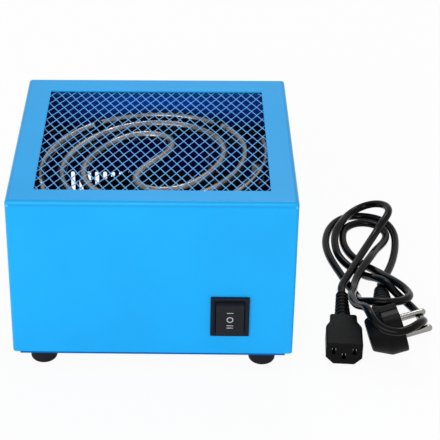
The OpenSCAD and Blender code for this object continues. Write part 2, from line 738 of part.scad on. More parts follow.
module switch_housing() difference() {
    union() {
        translate([switch_x, y_front - bezel_t / 2, z_switch])
            cube([bezel_w, bezel_t, bezel_h], center = true);
        translate([switch_x, y_front + switch_depth / 2 - eps, z_switch])
            cube([bezel_w - 4.2, switch_depth, bezel_h - 3.2], center = true);
    }
    translate([switch_x, y_front - bezel_t + cavity_depth / 2 - eps, z_switch])
        cube([cavity_w, cavity_depth, cavity_h], center = true);
    at_axis() rotate([0, 90, 0]) cylinder(d = 3.1, h = cavity_w + 2, center = true);
}

// Ridge in the housing that the contact lever rocks on
module lever_ridge() translate([switch_x - 2.5, lever_y + 1.02, z_switch - 1.5])
    cube([5, y_front - bezel_t + cavity_depth - lever_y - 1, 3]);

// Rocker with a hollowed face; its ends are round about the axis
module rocker() color("#30333b") at_axis() {
    difference() {
        rotate([0, 90, 0]) cylinder(r = rocker_r, h = rocker_w, center = true, $fn = 96);
        translate([0, -64, 0]) rotate([0, 90, 0]) cylinder(r = 60, h = 40, center = true, $fn = 180);
        translate([0, rocker_r / 2 + 4, 0]) cube([40, rocker_r, 40], center = true);
        translate([0, 4.5, 0]) rotate([90, 0, 0]) cylinder(d = 3.2, h = 5);
    }
    rotate([0, 90, 0]) cylinder(d = 3, h = cavity_w + 1.6, center = true);
}

module rocker_plunger() color(STEEL) at_axis() {
    translate([0, 1.6, 0]) rotate([-90, 0, 0]) cylinder(d = 3.2 - 2 * fit, h = 8.4);
    translate([0, 10, 0]) sphere(d = 3.2 - 2 * fit);
}

module contact_lever() color(BRASS) translate([switch_x, lever_y, z_switch]) {
    cube([5, 0.8, 17], center = true);
    translate([0, 0.3, 0]) rotate([0, 90, 0]) cylinder(d = 1.4, h = 5, center = true);
}

module switch_tabs() color(BRASS) for (sx = [-1, 1], sz = [-1:1])
    translate([switch_x + 5 * sx, y_front + switch_depth + tab_l / 2, z_switch + 8 * sz])
        cube([0.8, tab_l, 4.8], center = true);

// Power inlet, a recessed socket with three blades

module inlet_body() color(BLACK) difference() {
    union() {
        translate([inlet_x, y_rear + flange_t, z_inlet]) rotate([90, 0, 0])
            linear_extrude(flange_t) rounded_rect(2 * inlet_hole_x + 10, inlet_body_h + 3.4, 4);
        translate([inlet_x, y_rear - inlet_depth / 2 + eps, z_inlet])
            cube([inlet_body_w - 0.4, inlet_depth, inlet_body_h - 0.4], center = true);
    }
    translate([inlet_x, y_rear + flange_t - recess_depth, z_inlet]) rotate([-90, 0, 0])
        linear_extrude(recess_depth + 1) difference() {
            square([recess_w, recess_h], center = true);
            for (s = [-1, 1])
                translate([s * recess_w / 2, -recess_h / 2]) rotate(45) square(7, center = true);
        }
    for (s = [-1, 1])
        translate([inlet_x + s * inlet_hole_x, y_rear + flange_t + 1, z_inlet]) rotate([90, 0, 0]) {
            cylinder(d = m3 + 0.4, h = flange_t + 3);
            translate([0, 0, 1 - eps]) cylinder(d1 = 6, d2 = m3 + 0.4, h = 1.4);
        }
    for (p = [[-blade_x, -blade_z], [blade_x, -blade_z], [0, blade_z]])
        translate([inlet_x + p.x, y_rear - inlet_depth, z_inlet + p.y]) cube([2, 10, 4], center = true);
}

module inlet_blades() color(BRASS)
    for (p = [[-blade_x, -blade_z, 0], [blade_x, -blade_z, 0], [0, blade_z, 2]])
        translate([inlet_x + p.x - 1, inlet_tab_y, z_inlet + p.y - 2])
            cube([2, y_rear + flange_t - 3 + p.z - inlet_tab_y, 4]);

module at_inlet_holes() for (s = [-1, 1])
    translate([inlet_x + s * inlet_hole_x, y_rear + flange_t, z_inlet]) rotate([90, 0, 0]) children();

module inlet_screws() color(STEEL) at_inlet_holes() {
    cylinder(d1 = 6 - 0.1, d2 = m3, h = 1.4);
    cylinder(d = m3, h = flange_t + sheet_t + 4);
}

module inlet_nuts() color(STEEL)
    at_inlet_holes() translate([0, 0, flange_t + sheet_t]) nut(5.5, 2.4, m3 + 0.1);

// Power lead

// The cord leaves both reliefs straight.
lead_dir = [sin(lead_turn), cos(lead_turn), 0];
neck_dir = unit(boot_end - neck_at);
neck_l = norm(boot_end - neck_at);
cord_route = concat(
    [for (l = [0, 5, 11]) cord_start + l * lead_dir],
    [for (p = CORD_ROUTE) [case_w / 2 + p.x, p.y, p.z]],
    [for (l = [11, 5, 0]) boot_end + l * neck_dir]);
cord_points = [for (p = smooth(cord_route, 2)) [p.x, p.y, max(p.z, cord_d / 2)]];

module power_cord() color("#292929") sweep(cord_points, cord_d / 2, 10);

module at_connector() translate([lead_x, nose_y, 0]) rotate(-lead_turn) children();

module connector_body() color("#222326") at_connector() difference() {
    linear_extrude(nose_h) polygon([
        [-nose_w / 2, 0], [nose_w / 2, 0], [nose_w / 2, 22], [9.5, 29], [9.5, body_l],
        [-9.5, body_l], [-9.5, 29], [-nose_w / 2, 22]
    ]);
    for (s = [-1, 1])
        translate([s * nose_w / 2, -1, 0]) rotate([0, 45, 0]) translate([-3.6, 0, -3.6]) cube([7.2, 26, 7.2]);
    for (p = [[-7, 10.5], [7, 10.5], [0, 6.5]]) translate([p.x - 1.4, -1, p.y - 2.4]) cube([2.8, 15, 4.8]);
}

module connector_contacts() color(BRASS) for (p = [[-7, 10.5], [7, 10.5], [0, 6.5]], s = [-1, 1])
    at_connector() translate([p.x + s * 1.2, 8.5, p.y]) cube([0.4, 11, 4], center = true);

// Ribbed sleeve along +Z, wide at its foot and a cord wide at its tip
module ribbed_sleeve(l, r_foot, r_tip, ribs) rotate_extrude() {
    pitch = l / ribs;
    polygon([[0, 0], [r_foot, 0], [r_tip, l], [0, l]]);
    for (i = [0:ribs - 1]) {
        r = r_foot + (r_tip - r_foot) * (i + 0.5) / ribs;
        translate([0, (i + 0.15) * pitch]) square([r + 0.7, pitch * 0.55]);
    }
}

module connector_relief() color("#1d1e20")
    at_connector() translate([0, body_l, cord_z]) rotate([-90, 0, 0])
        ribbed_sleeve(relief_l, 5.4, cord_d / 2 + 0.6, 8);

// The neck of the plug runs from the middle of its body towards the end of its boot.
module along_neck(share) translate(neck_at + share * (boot_end - neck_at))
    rotate([0, acos(neck_dir.z), atan2(neck_dir.y, neck_dir.x)]) children();

module at_plug() translate(plug_at) rotate([0, -plug_lift, plug_turn]) children();

module plug_body() color("#222326") difference() {
    union() {
        at_plug() rotate([0, -90, 0]) {
            cylinder(r = plug_r, h = plug_disc, $fn = 96);
            translate([0, 0, plug_disc - eps])
                cylinder(r1 = plug_r, r2 = plug_back_r, h = plug_disc, $fn = 96);
        }
        along_neck(0) cylinder(r1 = 10.2, r2 = 8.6, h = neck_share * neck_l);
    }
    for (s = [-1, 1])
        at_plug() translate([0, 0, s * (plug_flat + 10)]) cube([80, 80, 20], center = true);
    for (s = [-1, 1])
        at_plug() translate([-6, 0, s * plug_flat]) cube([14, 6, 3], center = true);
    at_plug() translate([-9, 0, 9.5]) rotate([0, 90, 0]) cylinder(d = 5, h = 12);
    for (s = [-1, 1])
        at_plug() translate([-8, s * 9.5, 0]) rotate([0, 90, 0]) cylinder(d = plug_pin_d + 2 * fit, h = 10);
}

module plug_pins() color(STEEL) for (s = [-1, 1]) at_plug() translate([-8, s * 9.5, 0]) rotate([0, 90, 0]) {
    cylinder(d = plug_pin_d, h = 8 + plug_pin_l - plug_pin_d / 2);
    translate([0, 0, 8 + plug_pin_l - plug_pin_d / 2]) sphere(d = plug_pin_d);
}

module plug_earth_clips() color(STEEL) for (s = [-1, 1])
    at_plug() translate([-6, 0, s * (plug_flat - 1)]) cube([12, 5.4, 1], center = true);

module plug_relief() color("#1d1e20")
    along_neck(neck_share) ribbed_sleeve((1 - neck_share) * neck_l, 7.6, 4.3, 6);

cover();
mesh_grille();
strip_left();
strip_right();
strip_front();
strip_rear();
base_tray();
foot_front_left();
foot_front_right();
foot_rear_left();
foot_rear_right();
foot_screws();
cover_screws();
m4_nuts();
fan_housing();
fan_spacers();
fan_screws();
fan_rotor();
fan_shaft();
shaft_clip();
bearing_lower();
bearing_upper();
stator_core();
stator_coils();
heater_tube();
rail_front();
rail_rear();
rail_posts();
rail_screws();
heater_clips();
heater_seals();
heater_pins();
thermal_cutout();
terminal_block();
terminal_screws();
earth_stud();
wire_live();
wire_neutral();
wire_earth();
wire_switched();
wire_cutout();
wire_heater();
wire_fan();
switch_body();
rocker();
rocker_plunger();
contact_lever();
switch_tabs();
inlet_body();
inlet_blades();
inlet_screws();
inlet_nuts();
power_cord();
connector_body();
connector_relief();
connector_contacts();
plug_body();
plug_relief();
plug_pins();
plug_earth_clips();
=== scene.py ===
"""Watch dryer: dresses the packed frame with paint, mesh, heater, switch, feet and mains lead.

Shapes are written in millimetres in the frame's axes: X across the front, Y to the rear, Z up,
with the origin on the table under the middle of the dryer. They are scaled to metres when a
piece is made.
"""
import math

import bmesh
import bpy
from bpy.props import FloatProperty, FloatVectorProperty, IntProperty, PointerProperty
from mathutils import Matrix, Vector


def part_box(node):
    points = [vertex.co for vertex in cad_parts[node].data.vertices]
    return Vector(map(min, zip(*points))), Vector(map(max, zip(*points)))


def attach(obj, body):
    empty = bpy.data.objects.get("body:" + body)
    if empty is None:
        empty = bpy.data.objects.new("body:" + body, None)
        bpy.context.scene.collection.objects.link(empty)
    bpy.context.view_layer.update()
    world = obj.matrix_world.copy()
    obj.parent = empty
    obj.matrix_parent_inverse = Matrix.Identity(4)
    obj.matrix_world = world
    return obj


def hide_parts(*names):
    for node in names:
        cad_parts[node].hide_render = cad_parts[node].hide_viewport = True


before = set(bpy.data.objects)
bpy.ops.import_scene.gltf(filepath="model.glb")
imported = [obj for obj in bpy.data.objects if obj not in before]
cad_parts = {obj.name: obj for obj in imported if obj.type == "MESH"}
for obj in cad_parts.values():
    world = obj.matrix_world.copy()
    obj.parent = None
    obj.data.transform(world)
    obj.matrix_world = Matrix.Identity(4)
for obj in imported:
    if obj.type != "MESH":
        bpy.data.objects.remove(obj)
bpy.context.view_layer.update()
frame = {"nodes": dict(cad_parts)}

bl_info = {
    "name": "Watch Dryer",
    "version": (1, 0, 0),
    "blender": (4, 5, 0),
    "location": "3D View > Sidebar > Watch Dryer",
    "description": "Dresses a bench dryer for watch parts: case, mesh, heater, switch and lead",
    "category": "Object",
}

NODES = frame["nodes"]
MM = 0.001
BODY = "dryer"

# The cord's route from part.scad, in metres, between the connector's relief and the plug's boot.
CORD_ROUTE = [
    (0.144, 0.017, 0.0095), (0.151, 0.034, 0.0092), (0.159, 0.051, 0.01),
    (0.167, 0.067, 0.011), (0.1735, 0.077, 0.016), (0.181, 0.087, 0.02),
    (0.181, 0.0995, 0.019), (0.173, 0.1095, 0.0155), (0.161, 0.1115, 0.0105),
    (0.1505, 0.104, 0.0075), (0.1455, 0.0925, 0.0085), (0.141, 0.084, 0.0085),
    (0.1375, 0.073, 0.0065), (0.137, 0.06, 0.0055), (0.1385, 0.048, 0.0045),
    (0.144, 0.038, 0.003), (0.151, 0.0295, 0.003), (0.157, 0.0205, 0.004),
    (0.1615, 0.0065, 0.013), (0.168, -0.0045, 0.0165), (0.174, -0.0125, 0.012),
    (0.181, -0.018, 0.0085), (0.186, -0.028, 0.0085), (0.1885, -0.043, 0.012),
    (0.1865, -0.056, 0.017), (0.1865, -0.0655, 0.026), (0.182, -0.074, 0.03),
    (0.175, -0.081, 0.0295), (0.165, -0.0835, 0.0275), (0.154, -0.08, 0.029),
    (0.148, -0.071, 0.0335), (0.147, -0.0585, 0.033), (0.142, -0.0445, 0.022),
    (0.1395, -0.0255, 0.019), (0.144, -0.0105, 0.0125), (0.146, 0.004, 0.01),
    (0.153, 0.0215, 0.011), (0.1615, 0.037, 0.011), (0.167, 0.054, 0.0065),
    (0.1765, 0.071, 0.003), (0.18, 0.0845, 0.003), (0.172, 0.0975, 0.0035),
    (0.157, 0.0995, 0.0035), (0.1465, 0.0905, 0.003), (0.1445, 0.079, 0.003),
    (0.144, 0.068, 0.003), (0.147, 0.054, 0.003), (0.153, 0.0435, 0.003),
    (0.159, 0.036, 0.003), (0.165, 0.02, 0.009), (0.1705, 0.0045, 0.014),
    (0.177, -0.0075, 0.017), (0.182, -0.0205, 0.0185), (0.1815, -0.0315, 0.022),
    (0.175, -0.04, 0.024), (0.165, -0.044, 0.0255), (0.153, -0.041, 0.0245),
    (0.144, -0.031, 0.017), (0.149, -0.0095, 0.0055), (0.1435, 0.0065, 0.003),
    (0.139, 0.024, 0.003), (0.134, 0.04, 0.003), (0.1305, 0.057, 0.003),
    (0.1305, 0.074, 0.003), (0.135, 0.091, 0.003), (0.142, 0.102, 0.003),
    (0.151, 0.109, 0.003), (0.1605, 0.11, 0.003), (0.17, 0.1065, 0.004),
    (0.1795, 0.0975, 0.006), (0.185, 0.0865, 0.0035), (0.185, 0.073, 0.003),
    (0.1825, 0.057, 0.003), (0.178, 0.0395, 0.003), (0.172, 0.024, 0.0035),
]


# Values and colours


def srgb(code):
    """A colour code as the linear RGBA that shader sockets take."""
    channels = [int(code[i:i + 2], 16) / 255 for i in (1, 3, 5)]
    return tuple(c / 12.92 if c <= 0.04045 else ((c + 0.055) / 1.055) ** 2.4
                 for c in channels) + (1.0,)


def length(name, text, value):
    """A length property whose default is given in millimetres."""
    return FloatProperty(name=name, description=text, default=value * MM, unit="LENGTH",
                         min=0.0, precision=5)


def place(name, text, value):
    """A coordinate property whose default is given in millimetres; it may be negative."""
    return FloatProperty(name=name, description=text, default=value * MM, unit="LENGTH",
                         precision=5)


def angle(name, text, value):
    """An angle property whose default is given in degrees."""
    return FloatProperty(name=name, description=text, default=math.radians(value),
                         subtype="ANGLE")


def colour(name, text, code):
    """A colour property whose default is given as a colour code."""
    return FloatVectorProperty(name=name, description=text, default=srgb(code), size=4,
                               subtype="COLOR", min=0.0, max=1.0)


def amount(name, text, value):
    """A plain share or strength."""
    return FloatProperty(name=name, description=text, default=value, min=0.0)


# Shaders


class Value:
    """A shader socket that works in Python expressions; each operation adds a Math node."""

    def __init__(self, finish, socket):
        self.finish = finish
        self.socket = socket

    def maths(self, operation, first, second):
        return self.finish.node("ShaderNodeMath", {"operation": operation},
                                {0: first, 1: second})

    def __add__(self, other):
        return self.maths("ADD", self, other)

    def __radd__(self, other):
        return self.maths("ADD", other, self)

    def __sub__(self, other):
        return self.maths("SUBTRACT", self, other)

    def __rsub__(self, other):
        return self.maths("SUBTRACT", other, self)

    def __mul__(self, other):
        return self.maths("MULTIPLY", self, other)

    def __rmul__(self, other):
        return self.maths("MULTIPLY", other, self)

    def __abs__(self):
        return self.maths("ABSOLUTE", self, 0.0)

    def least(self, other):
        return self.maths("MINIMUM", self, other)


class Finish:
    """One material, built node by node round a Principled shader; or the light of a world."""

    def __init__(self, name, world=None):
        self.material = world or bpy.data.materials.new(name)
        self.material.use_nodes = True
        self.tree = self.material.node_tree
        self.tree.nodes.clear()
        self.output = self.node("ShaderNodeOutputWorld" if world else "ShaderNodeOutputMaterial",
                                output=None)
        self.spot = None
        if world is None:
            self.shader = self.node("ShaderNodeBsdfPrincipled", output=None)
            self.surface(Value(self, self.shader.outputs[0]))

    def surface(self, value):
        self.feed(self.output.inputs["Surface"], value)

    def to_the_eye(self):
        """1 for rays that show a surface to the camera, straight, mirrored or through glass."""
        seen, mirrored, through = (
            self.node("ShaderNodeLightPath", output=name)
            for name in ("Is Camera Ray", "Is Glossy Ray", "Is Transmission Ray"))
        return seen + mirrored + through

    def feed(self, socket, value):
        if isinstance(value, Value):
            self.tree.links.new(value.socket, socket)
        else:
            socket.default_value = value

    def node(self, kind, settings=None, sockets=None, output=0):
        """Adds a node: its settings first, then the values or links of its sockets.

        Gives the wanted output, or the node itself if output is None.
        """
        made = self.tree.nodes.new(kind)
        for key, value in (settings or {}).items():
            if key == "stops":
                ramp = made.color_ramp.elements
                while len(ramp) < len(value):
                    ramp.new(1.0)
                for stop, (at, tint) in zip(ramp, value):
                    stop.position, stop.color = at, tint
            else:
                setattr(made, key, value)
        for key, value in (sockets or {}).items():
            self.feed(made.inputs[key], value)
        return made if output is None else Value(self, made.outputs[output])

    def where(self, stretch=None):
        """Object coordinates, which are the frame's, drawn out by stretch."""
        if self.spot is None:
            self.spot = self.node("ShaderNodeTexCoord", output="Object")
        if stretch is None:
            return self.spot
        return self.node("ShaderNodeVectorMath", {"operation": "MULTIPLY"},
                         {0: self.spot, 1: stretch})

    def axes(self):
        """The three object coordinates, one value each."""
        return [self.node("ShaderNodeSeparateXYZ", sockets={0: self.where()}, output=k)
                for k in range(3)]

    def noise(self, scale, detail=2.0, rough=0.5, stretch=None):
        return self.node("ShaderNodeTexNoise", sockets={
            "Vector": self.where(stretch), "Scale": scale, "Detail": detail,
            "Roughness": rough})

    def cells(self, scale):
        return self.node("ShaderNodeTexVoronoi", sockets={
            "Vector": self.where(), "Scale": scale})

    def spread(self, value, low, high, to_low=0.0, to_high=1.0):
        """Carries low to high over to to_low to to_high, held at both ends."""
        return self.node("ShaderNodeMapRange", sockets={
            0: value, 1: low, 2: high, 3: to_low, 4: to_high})

    def mix(self, share, first, second):
        """A colour between two, at a share of the way to the second."""
        return self.node("ShaderNodeMix", {"data_type": "RGBA"},
                         {0: share, 6: first, 7: second}, output=2)

    def relief(self, height, distance, strength):
        return self.node("ShaderNodeBump", sockets={
            "Height": height, "Distance": distance, "Strength": strength})

    def set(self, **sockets):
        for key, value in sockets.items():
            self.feed(self.shader.inputs[key.replace("_", " ")], value)
        return self.material


def shade(tint, factor):
    """A colour made darker or lighter in linear light."""
    return tuple(min(1.0, c * factor) for c in tint[:3]) + (1.0,)


def fold_shade_and_glints(f, low, high, bend):
    """Painted shade lines along the folded edges and painted highlights at the upper corners."""
    x, y, z = f.axes()
    middle, half = (low + high) / 2, (high - low) / 2
    across, along, down = (half.x - abs(x - middle.x), half.y - abs(y - middle.y), high.z - z)
    edge = across.least(along)

    def near(value, at, reach):
        return f.spread(abs(value - at), 0.0, reach * MM, 1.0, 0.0)

    def flush(value):
        return f.spread(value, 0.3 * MM, 0.6 * MM, 1.0, 0.0)

    # Painted shade: a dark line high on each folded edge and another just below the fold on the
    # faces.
    shade_lines = near(edge, 0.75 * bend, 1.0) * flush(down) + near(down, 1.25 * bend, 1.3) * flush(edge)
    # Painted highlights: bright spots on the front and rear faces near the upper side corners.
    glint_spots = near(across, 1.5 * MM, 1.2) * near(down, 1.4 * bend, 1.2) * flush(along)
    return shade_lines, glint_spots


def powder_paint(name, tint, gloss=0.36, peel=1.0, specular=0.25, folds=None):
    """Baked powder coat: fine orange peel, a slow drift of tone and a few dust nibs; with folds,
    also painted shade lines on the folded edges and painted highlights at the upper corners.
    """
    f = Finish(name)
    drift = f.noise(16.0, 3.0)
    fleck = f.noise(900.0, 2.0)
    grain = f.noise(520.0, 2.0, 0.55)
    nibs = f.spread(f.cells(150.0), 0.0, 0.10, 1.0, 0.0)
    tone = f.mix(f.spread(drift, 0.35, 0.65), shade(tint, 0.965), shade(tint, 1.03))
    tone = f.mix(f.spread(fleck, 0.40, 0.62) * 0.10, tone, shade(tint, 0.82))
    if folds:
        shade_lines, glint_spots = fold_shade_and_glints(f, *folds)
        # Painted shade: the dark lines along the folded edges.
        tone = f.mix(shade_lines * 0.6, tone, shade(tint, 0.68))
        # Painted highlight: pale blue spots at the upper corners.
        tone = f.mix(glint_spots * 0.8, tone, srgb("#9be4ff"))
    skin = f.relief(grain + nibs * 0.5, 0.00011 * peel, 0.55)
    return f.set(Base_Color=tone, Roughness=f.spread(fleck, 0.3, 0.7, gloss - 0.05, gloss + 0.07),
                 Specular_IOR_Level=specular, Normal=skin)


def inside_coat_with_painted_shade(name, tint, painted_shade_tint, low, high):
    """Powder coat inside the case with painted shade: lightest high in the middle, dark lower down
    and at the sides.
    """
    f = Finish(name)
    x, _, z = f.axes()
    grain = f.noise(520.0, 2.0, 0.55)
    cloud = f.noise(40.0, 3.0)
    # Share of the light tint: 1 high in the middle, falling to the dark painted shade tint lower
    # down and towards the sides.
    cover = f.spread(z, low, high) * f.spread(abs(x), 0.02, 0.09, 1.0, 0.5)
    tone = f.mix(cover * f.spread(cloud, 0.2, 0.6, 0.8, 1.0), painted_shade_tint, tint)
    tone = f.mix(f.spread(grain, 0.4, 0.7) * 0.15, tone, shade(painted_shade_tint, 0.6))
    return f.set(Base_Color=tone, Roughness=f.spread(grain, 0.3, 0.7, 0.45, 0.57),
                 Specular_IOR_Level=0.25, Normal=f.relief(grain, 0.00011, 0.55))


def moulded_plastic(name, tint, gloss=0.42, grain=1400.0, depth=0.00006, specular=0.12):
    """Injection moulded plastic: fine spark texture and faint flow marks."""
    f = Finish(name)
    flow = f.noise(60.0, 3.0)
    spark = f.noise(grain, 2.0, 0.6)
    tone = f.mix(f.spread(flow, 0.35, 0.65), shade(tint, 0.88), shade(tint, 1.14))
    tone = f.mix(f.spread(spark, 0.45, 0.70) * 0.25, tone, shade(tint, 1.5))
    return f.set(Base_Color=tone, Roughness=f.spread(spark, 0.3, 0.7, gloss - 0.06, gloss + 0.10),
                 Specular_IOR_Level=specular, Normal=f.relief(spark, depth, 0.5))


def soft_vinyl(name, tint, gloss=0.14):
    """Flexible cord vinyl: smooth skin with long faint ripples and small scuffs."""
    f = Finish(name)
    ripple = f.noise(220.0, 2.0)
    scuff = f.spread(f.noise(900.0, 4.0, 0.7), 0.58, 0.72)
    tone = f.mix(f.spread(ripple, 0.3, 0.7), shade(tint, 0.85), shade(tint, 1.2))
    tone = f.mix(scuff * 0.35, tone, shade(tint, 1.9))
    rough = f.spread(ripple, 0.3, 0.7, gloss - 0.03, gloss + 0.05) + scuff * 0.10
    return f.set(Base_Color=tone, Roughness=rough, Specular_IOR_Level=0.11,
                 Normal=f.relief(ripple, 0.00009, 0.5))


def foot_rubber(name, tint):
    """Matt rubber with a pebbled skin and pale dust in the pores."""
    f = Finish(name)
    pores = f.cells(1100.0)
    dust = f.spread(f.noise(140.0, 4.0, 0.65), 0.5, 0.75)
    tone = f.mix(f.spread(pores, 0.1, 0.6), shade(tint, 0.7), shade(tint, 1.25))
    tone = f.mix(dust * 0.22, tone, shade(tint, 3.0))
    return f.set(Base_Color=tone, Roughness=f.spread(pores, 0.0, 0.6, 0.62, 0.80),
                 Specular_IOR_Level=0.2, Normal=f.relief(pores, 0.00010, 0.6))


def plated_metal(name, tint, gloss=0.30, stretch=(1.0, 1.0, 9.0)):
    """Plated or rolled metal: drawn streaks, clouded plating and small stains."""
    f = Finish(name)
    streak = f.noise(900.0, 3.0, 0.6, stretch)
    cloud = f.noise(90.0, 3.0)
    stain = f.spread(f.noise(260.0, 4.0, 0.7), 0.60, 0.75)
    tone = f.mix(f.spread(cloud, 0.3, 0.7), shade(tint, 0.86), shade(tint, 1.08))
    tone = f.mix(stain * 0.35, tone, shade(tint, 0.55))
    rough = f.spread(streak, 0.3, 0.7, gloss - 0.07, gloss + 0.12) + stain * 0.15
    return f.set(Base_Color=tone, Metallic=1.0, Roughness=rough,
                 Normal=f.relief(streak, 0.00003, 0.4))


def heater_sheath(name, tint, scale_tint):
    """Annealed heater sheath: tan oxide in bands, grey where it has rubbed, fine pitting."""
    f = Finish(name)
    bands = f.noise(48.0, 3.0, 0.6)
    pits = f.noise(1500.0, 3.0, 0.65)
    rub = f.spread(f.noise(170.0, 4.0, 0.6), 0.48, 0.66)
    tone = f.mix(f.spread(bands, 0.34, 0.66), scale_tint, tint)
    tone = f.mix(rub * 0.5, tone, shade(tint, 1.35))
    tone = f.mix(f.spread(pits, 0.5, 0.75) * 0.5, tone, shade(scale_tint, 0.5))
    return f.set(Base_Color=tone, Metallic=1.0,
                 Roughness=f.spread(pits, 0.3, 0.7, 0.22, 0.36) - rub * 0.06,
                 Normal=f.relief(pits, 0.00005, 0.5))


def glazed_ceramic(name, tint):
    """Pressed ceramic: chalky body with fine specks and a faint clouded tone."""
    f = Finish(name)
    speck = f.spread(f.noise(1300.0, 3.0, 0.6), 0.58, 0.70)
    cloud = f.noise(120.0, 3.0)
    tone = f.mix(f.spread(cloud, 0.3, 0.7), shade(tint, 0.90), shade(tint, 1.04))
    tone = f.mix(speck * 0.4, tone, shade(tint, 0.55))
    return f.set(Base_Color=tone, Roughness=f.spread(cloud, 0.3, 0.7, 0.42, 0.60),
                 Normal=f.relief(cloud + speck * 0.3, 0.00006, 0.4))


def printed_mark(name, tint):
    """Pad-printed ink: slightly uneven cover with a few pin holes."""
    f = Finish(name)
    cover = f.noise(1800.0, 3.0, 0.6)
    holes = f.spread(f.noise(3200.0, 2.0), 0.62, 0.72)
    tone = f.mix(f.spread(cover, 0.35, 0.65), shade(tint, 0.82), tint)
    tone = f.mix(holes * 0.5, tone, shade(tint, 0.35))
    return f.set(Base_Color=tone, Roughness=f.spread(cover, 0.3, 0.7, 0.45, 0.6),
                 Normal=f.relief(cover, 0.00002, 0.4))


# Mesh building


class Shape:
    """A mesh under construction, in millimetres."""

    def __init__(self):
        self.bm = bmesh.new()

    def patch(self, points, faces):
        made = [self.bm.verts.new(p) for p in points]
        for f in faces:
            self.bm.faces.new([made[i] for i in f])
        return made

    def loft(self, rings, closed=False):
        """Skin over rings of equal count; the ends are capped unless the rings close up."""
        made = [[self.bm.verts.new(p) for p in ring] for ring in rings]
        count = len(made[0])
        pairs = list(zip(made, made[1:]))
        if closed:
            pairs.append((made[-1], made[0]))
        for one, two in pairs:
            for k in range(count):
                n = (k + 1) % count
                self.bm.faces.new((one[k], one[n], two[n], two[k]))
        if not closed:
            self.bm.faces.new(list(reversed(made[0])))
            self.bm.faces.new(made[-1])
        return made

    def lathe(self, profile, steps=48, to=Matrix.Identity(4), closed=False):
        """Turns (radius, height) pairs about Z, then moves the result by to."""
        rings = []
        for radius, height in profile:
            rings.append([to @ Vector((radius * math.cos(math.tau * k / steps),
                                       radius * math.sin(math.tau * k / steps), height))
                          for k in range(steps)])
        return self.loft(rings, closed)

    def box(self, low, high, to=Matrix.Identity(4)):
        x0, y0, z0 = low
        x1, y1, z1 = high
        ring = [(x0, y0), (x1, y0), (x1, y1), (x0, y1)]
        return self.loft([[to @ Vector((x, y, z)) for x, y in ring] for z in (z0, z1)])

    def tube(self, path, radius, sides=16, up=Vector((0, 0, 1))):
        """A round tube; radius is one number or one for each point."""
        path = [Vector(p) for p in path]
        radii = radius if hasattr(radius, "__len__") else [radius] * len(path)
        rings = []
        for i, p in enumerate(path):
            along = (path[min(i + 1, len(path) - 1)] - path[max(i - 1, 0)]).normalized()
            up = (up - along * up.dot(along)).normalized()
            side = along.cross(up)
            rings.append([p + radii[i] * (math.cos(math.tau * k / sides) * side
                                          + math.sin(math.tau * k / sides) * up)
                          for k in range(sides)])
        return self.loft(rings)

    def piece(self, name, material, replaces=(), body=BODY, crease=38.0):
        """Makes the object, rides it on its body and hides the nodes it stands for."""
        bmesh.ops.remove_doubles(self.bm, verts=self.bm.verts, dist=0.0005)
        bmesh.ops.recalc_face_normals(self.bm, faces=self.bm.faces)
        for face in self.bm.faces:
            face.smooth = True
        for edge in self.bm.edges:
            edge.smooth = edge.calc_face_angle(0.0) < math.radians(crease)
        mesh = bpy.data.meshes.new(name)
        self.bm.to_mesh(mesh)
        self.bm.free()
        mesh.transform(Matrix.Scale(MM, 4))
        return adopt(bpy.data.objects.new(name, mesh), material, replaces, body)


def adopt(obj, material, replaces=(), body=BODY):
    """Links a piece, gives it its finish, rides it and hides the nodes it replaces."""
    bpy.context.scene.collection.objects.link(obj)
    obj.data.materials.append(material)
    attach(obj, body)
    if replaces:
        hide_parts(*replaces)
    return obj


def round_edges(obj, width, segments=2, limit=40.0):
    """Rounds edges sharper than limit degrees and keeps the flats flat."""
    bevel = obj.modifiers.new("rounded edges", "BEVEL")
    bevel.width = width * MM
    bevel.segments = segments
    bevel.limit_method = "ANGLE"
    bevel.angle_limit = math.radians(limit)
    bevel.harden_normals = False
    weigh = obj.modifiers.new("flat faces", "WEIGHTED_NORMAL")
    weigh.keep_sharp = False
    return obj


def carve(obj, cutter, way="DIFFERENCE"):
    """Cuts or joins a closed shape into a piece's mesh."""
    bm = cutter.bm
    bmesh.ops.recalc_face_normals(bm, faces=bm.faces)
    mesh = bpy.data.meshes.new("cutter")
    bm.to_mesh(mesh)
    bm.free()
    mesh.transform(Matrix.Scale(MM, 4))
    tool = bpy.data.objects.new("cutter", mesh)
    bpy.context.scene.collection.objects.link(tool)
    step = obj.modifiers.new("carve", "BOOLEAN")
    step.operation = way
    step.solver = "EXACT"
    step.object = tool
    bpy.context.view_layer.update()
    made = bpy.data.meshes.new_from_object(
        obj.evaluated_get(bpy.context.evaluated_depsgraph_get()))
    obj.modifiers.remove(step)
    old, obj.data = obj.data, made
    made.name = obj.name
    bpy.data.meshes.remove(old)
    bpy.data.objects.remove(tool)
    bpy.data.meshes.remove(mesh)
    if not made.polygons:
        raise RuntimeError(f"nothing is left of {obj.name} after carving")
    edit = bmesh.new()
    edit.from_mesh(made)
    for edge in edit.edges:
        edge.smooth = edge.calc_face_angle(0.0) < math.radians(38.0)
    edit.to_mesh(made)
    edit.free()


def rounded_rect(w, h, r, steps=5):
    """Outline of a w by h rectangle with corner radius r, counter-clockwise."""
    points = []
    for k, (sx, sy) in enumerate(((1, 1), (-1, 1), (-1, -1), (1, -1))):
        for i in range(steps + 1):
            a = math.radians(90 * k + 90 * i / steps)
            points.append((sx * (w / 2 - r) + r * math.cos(a), sy * (h / 2 - r) + r * math.sin(a)))
    return points


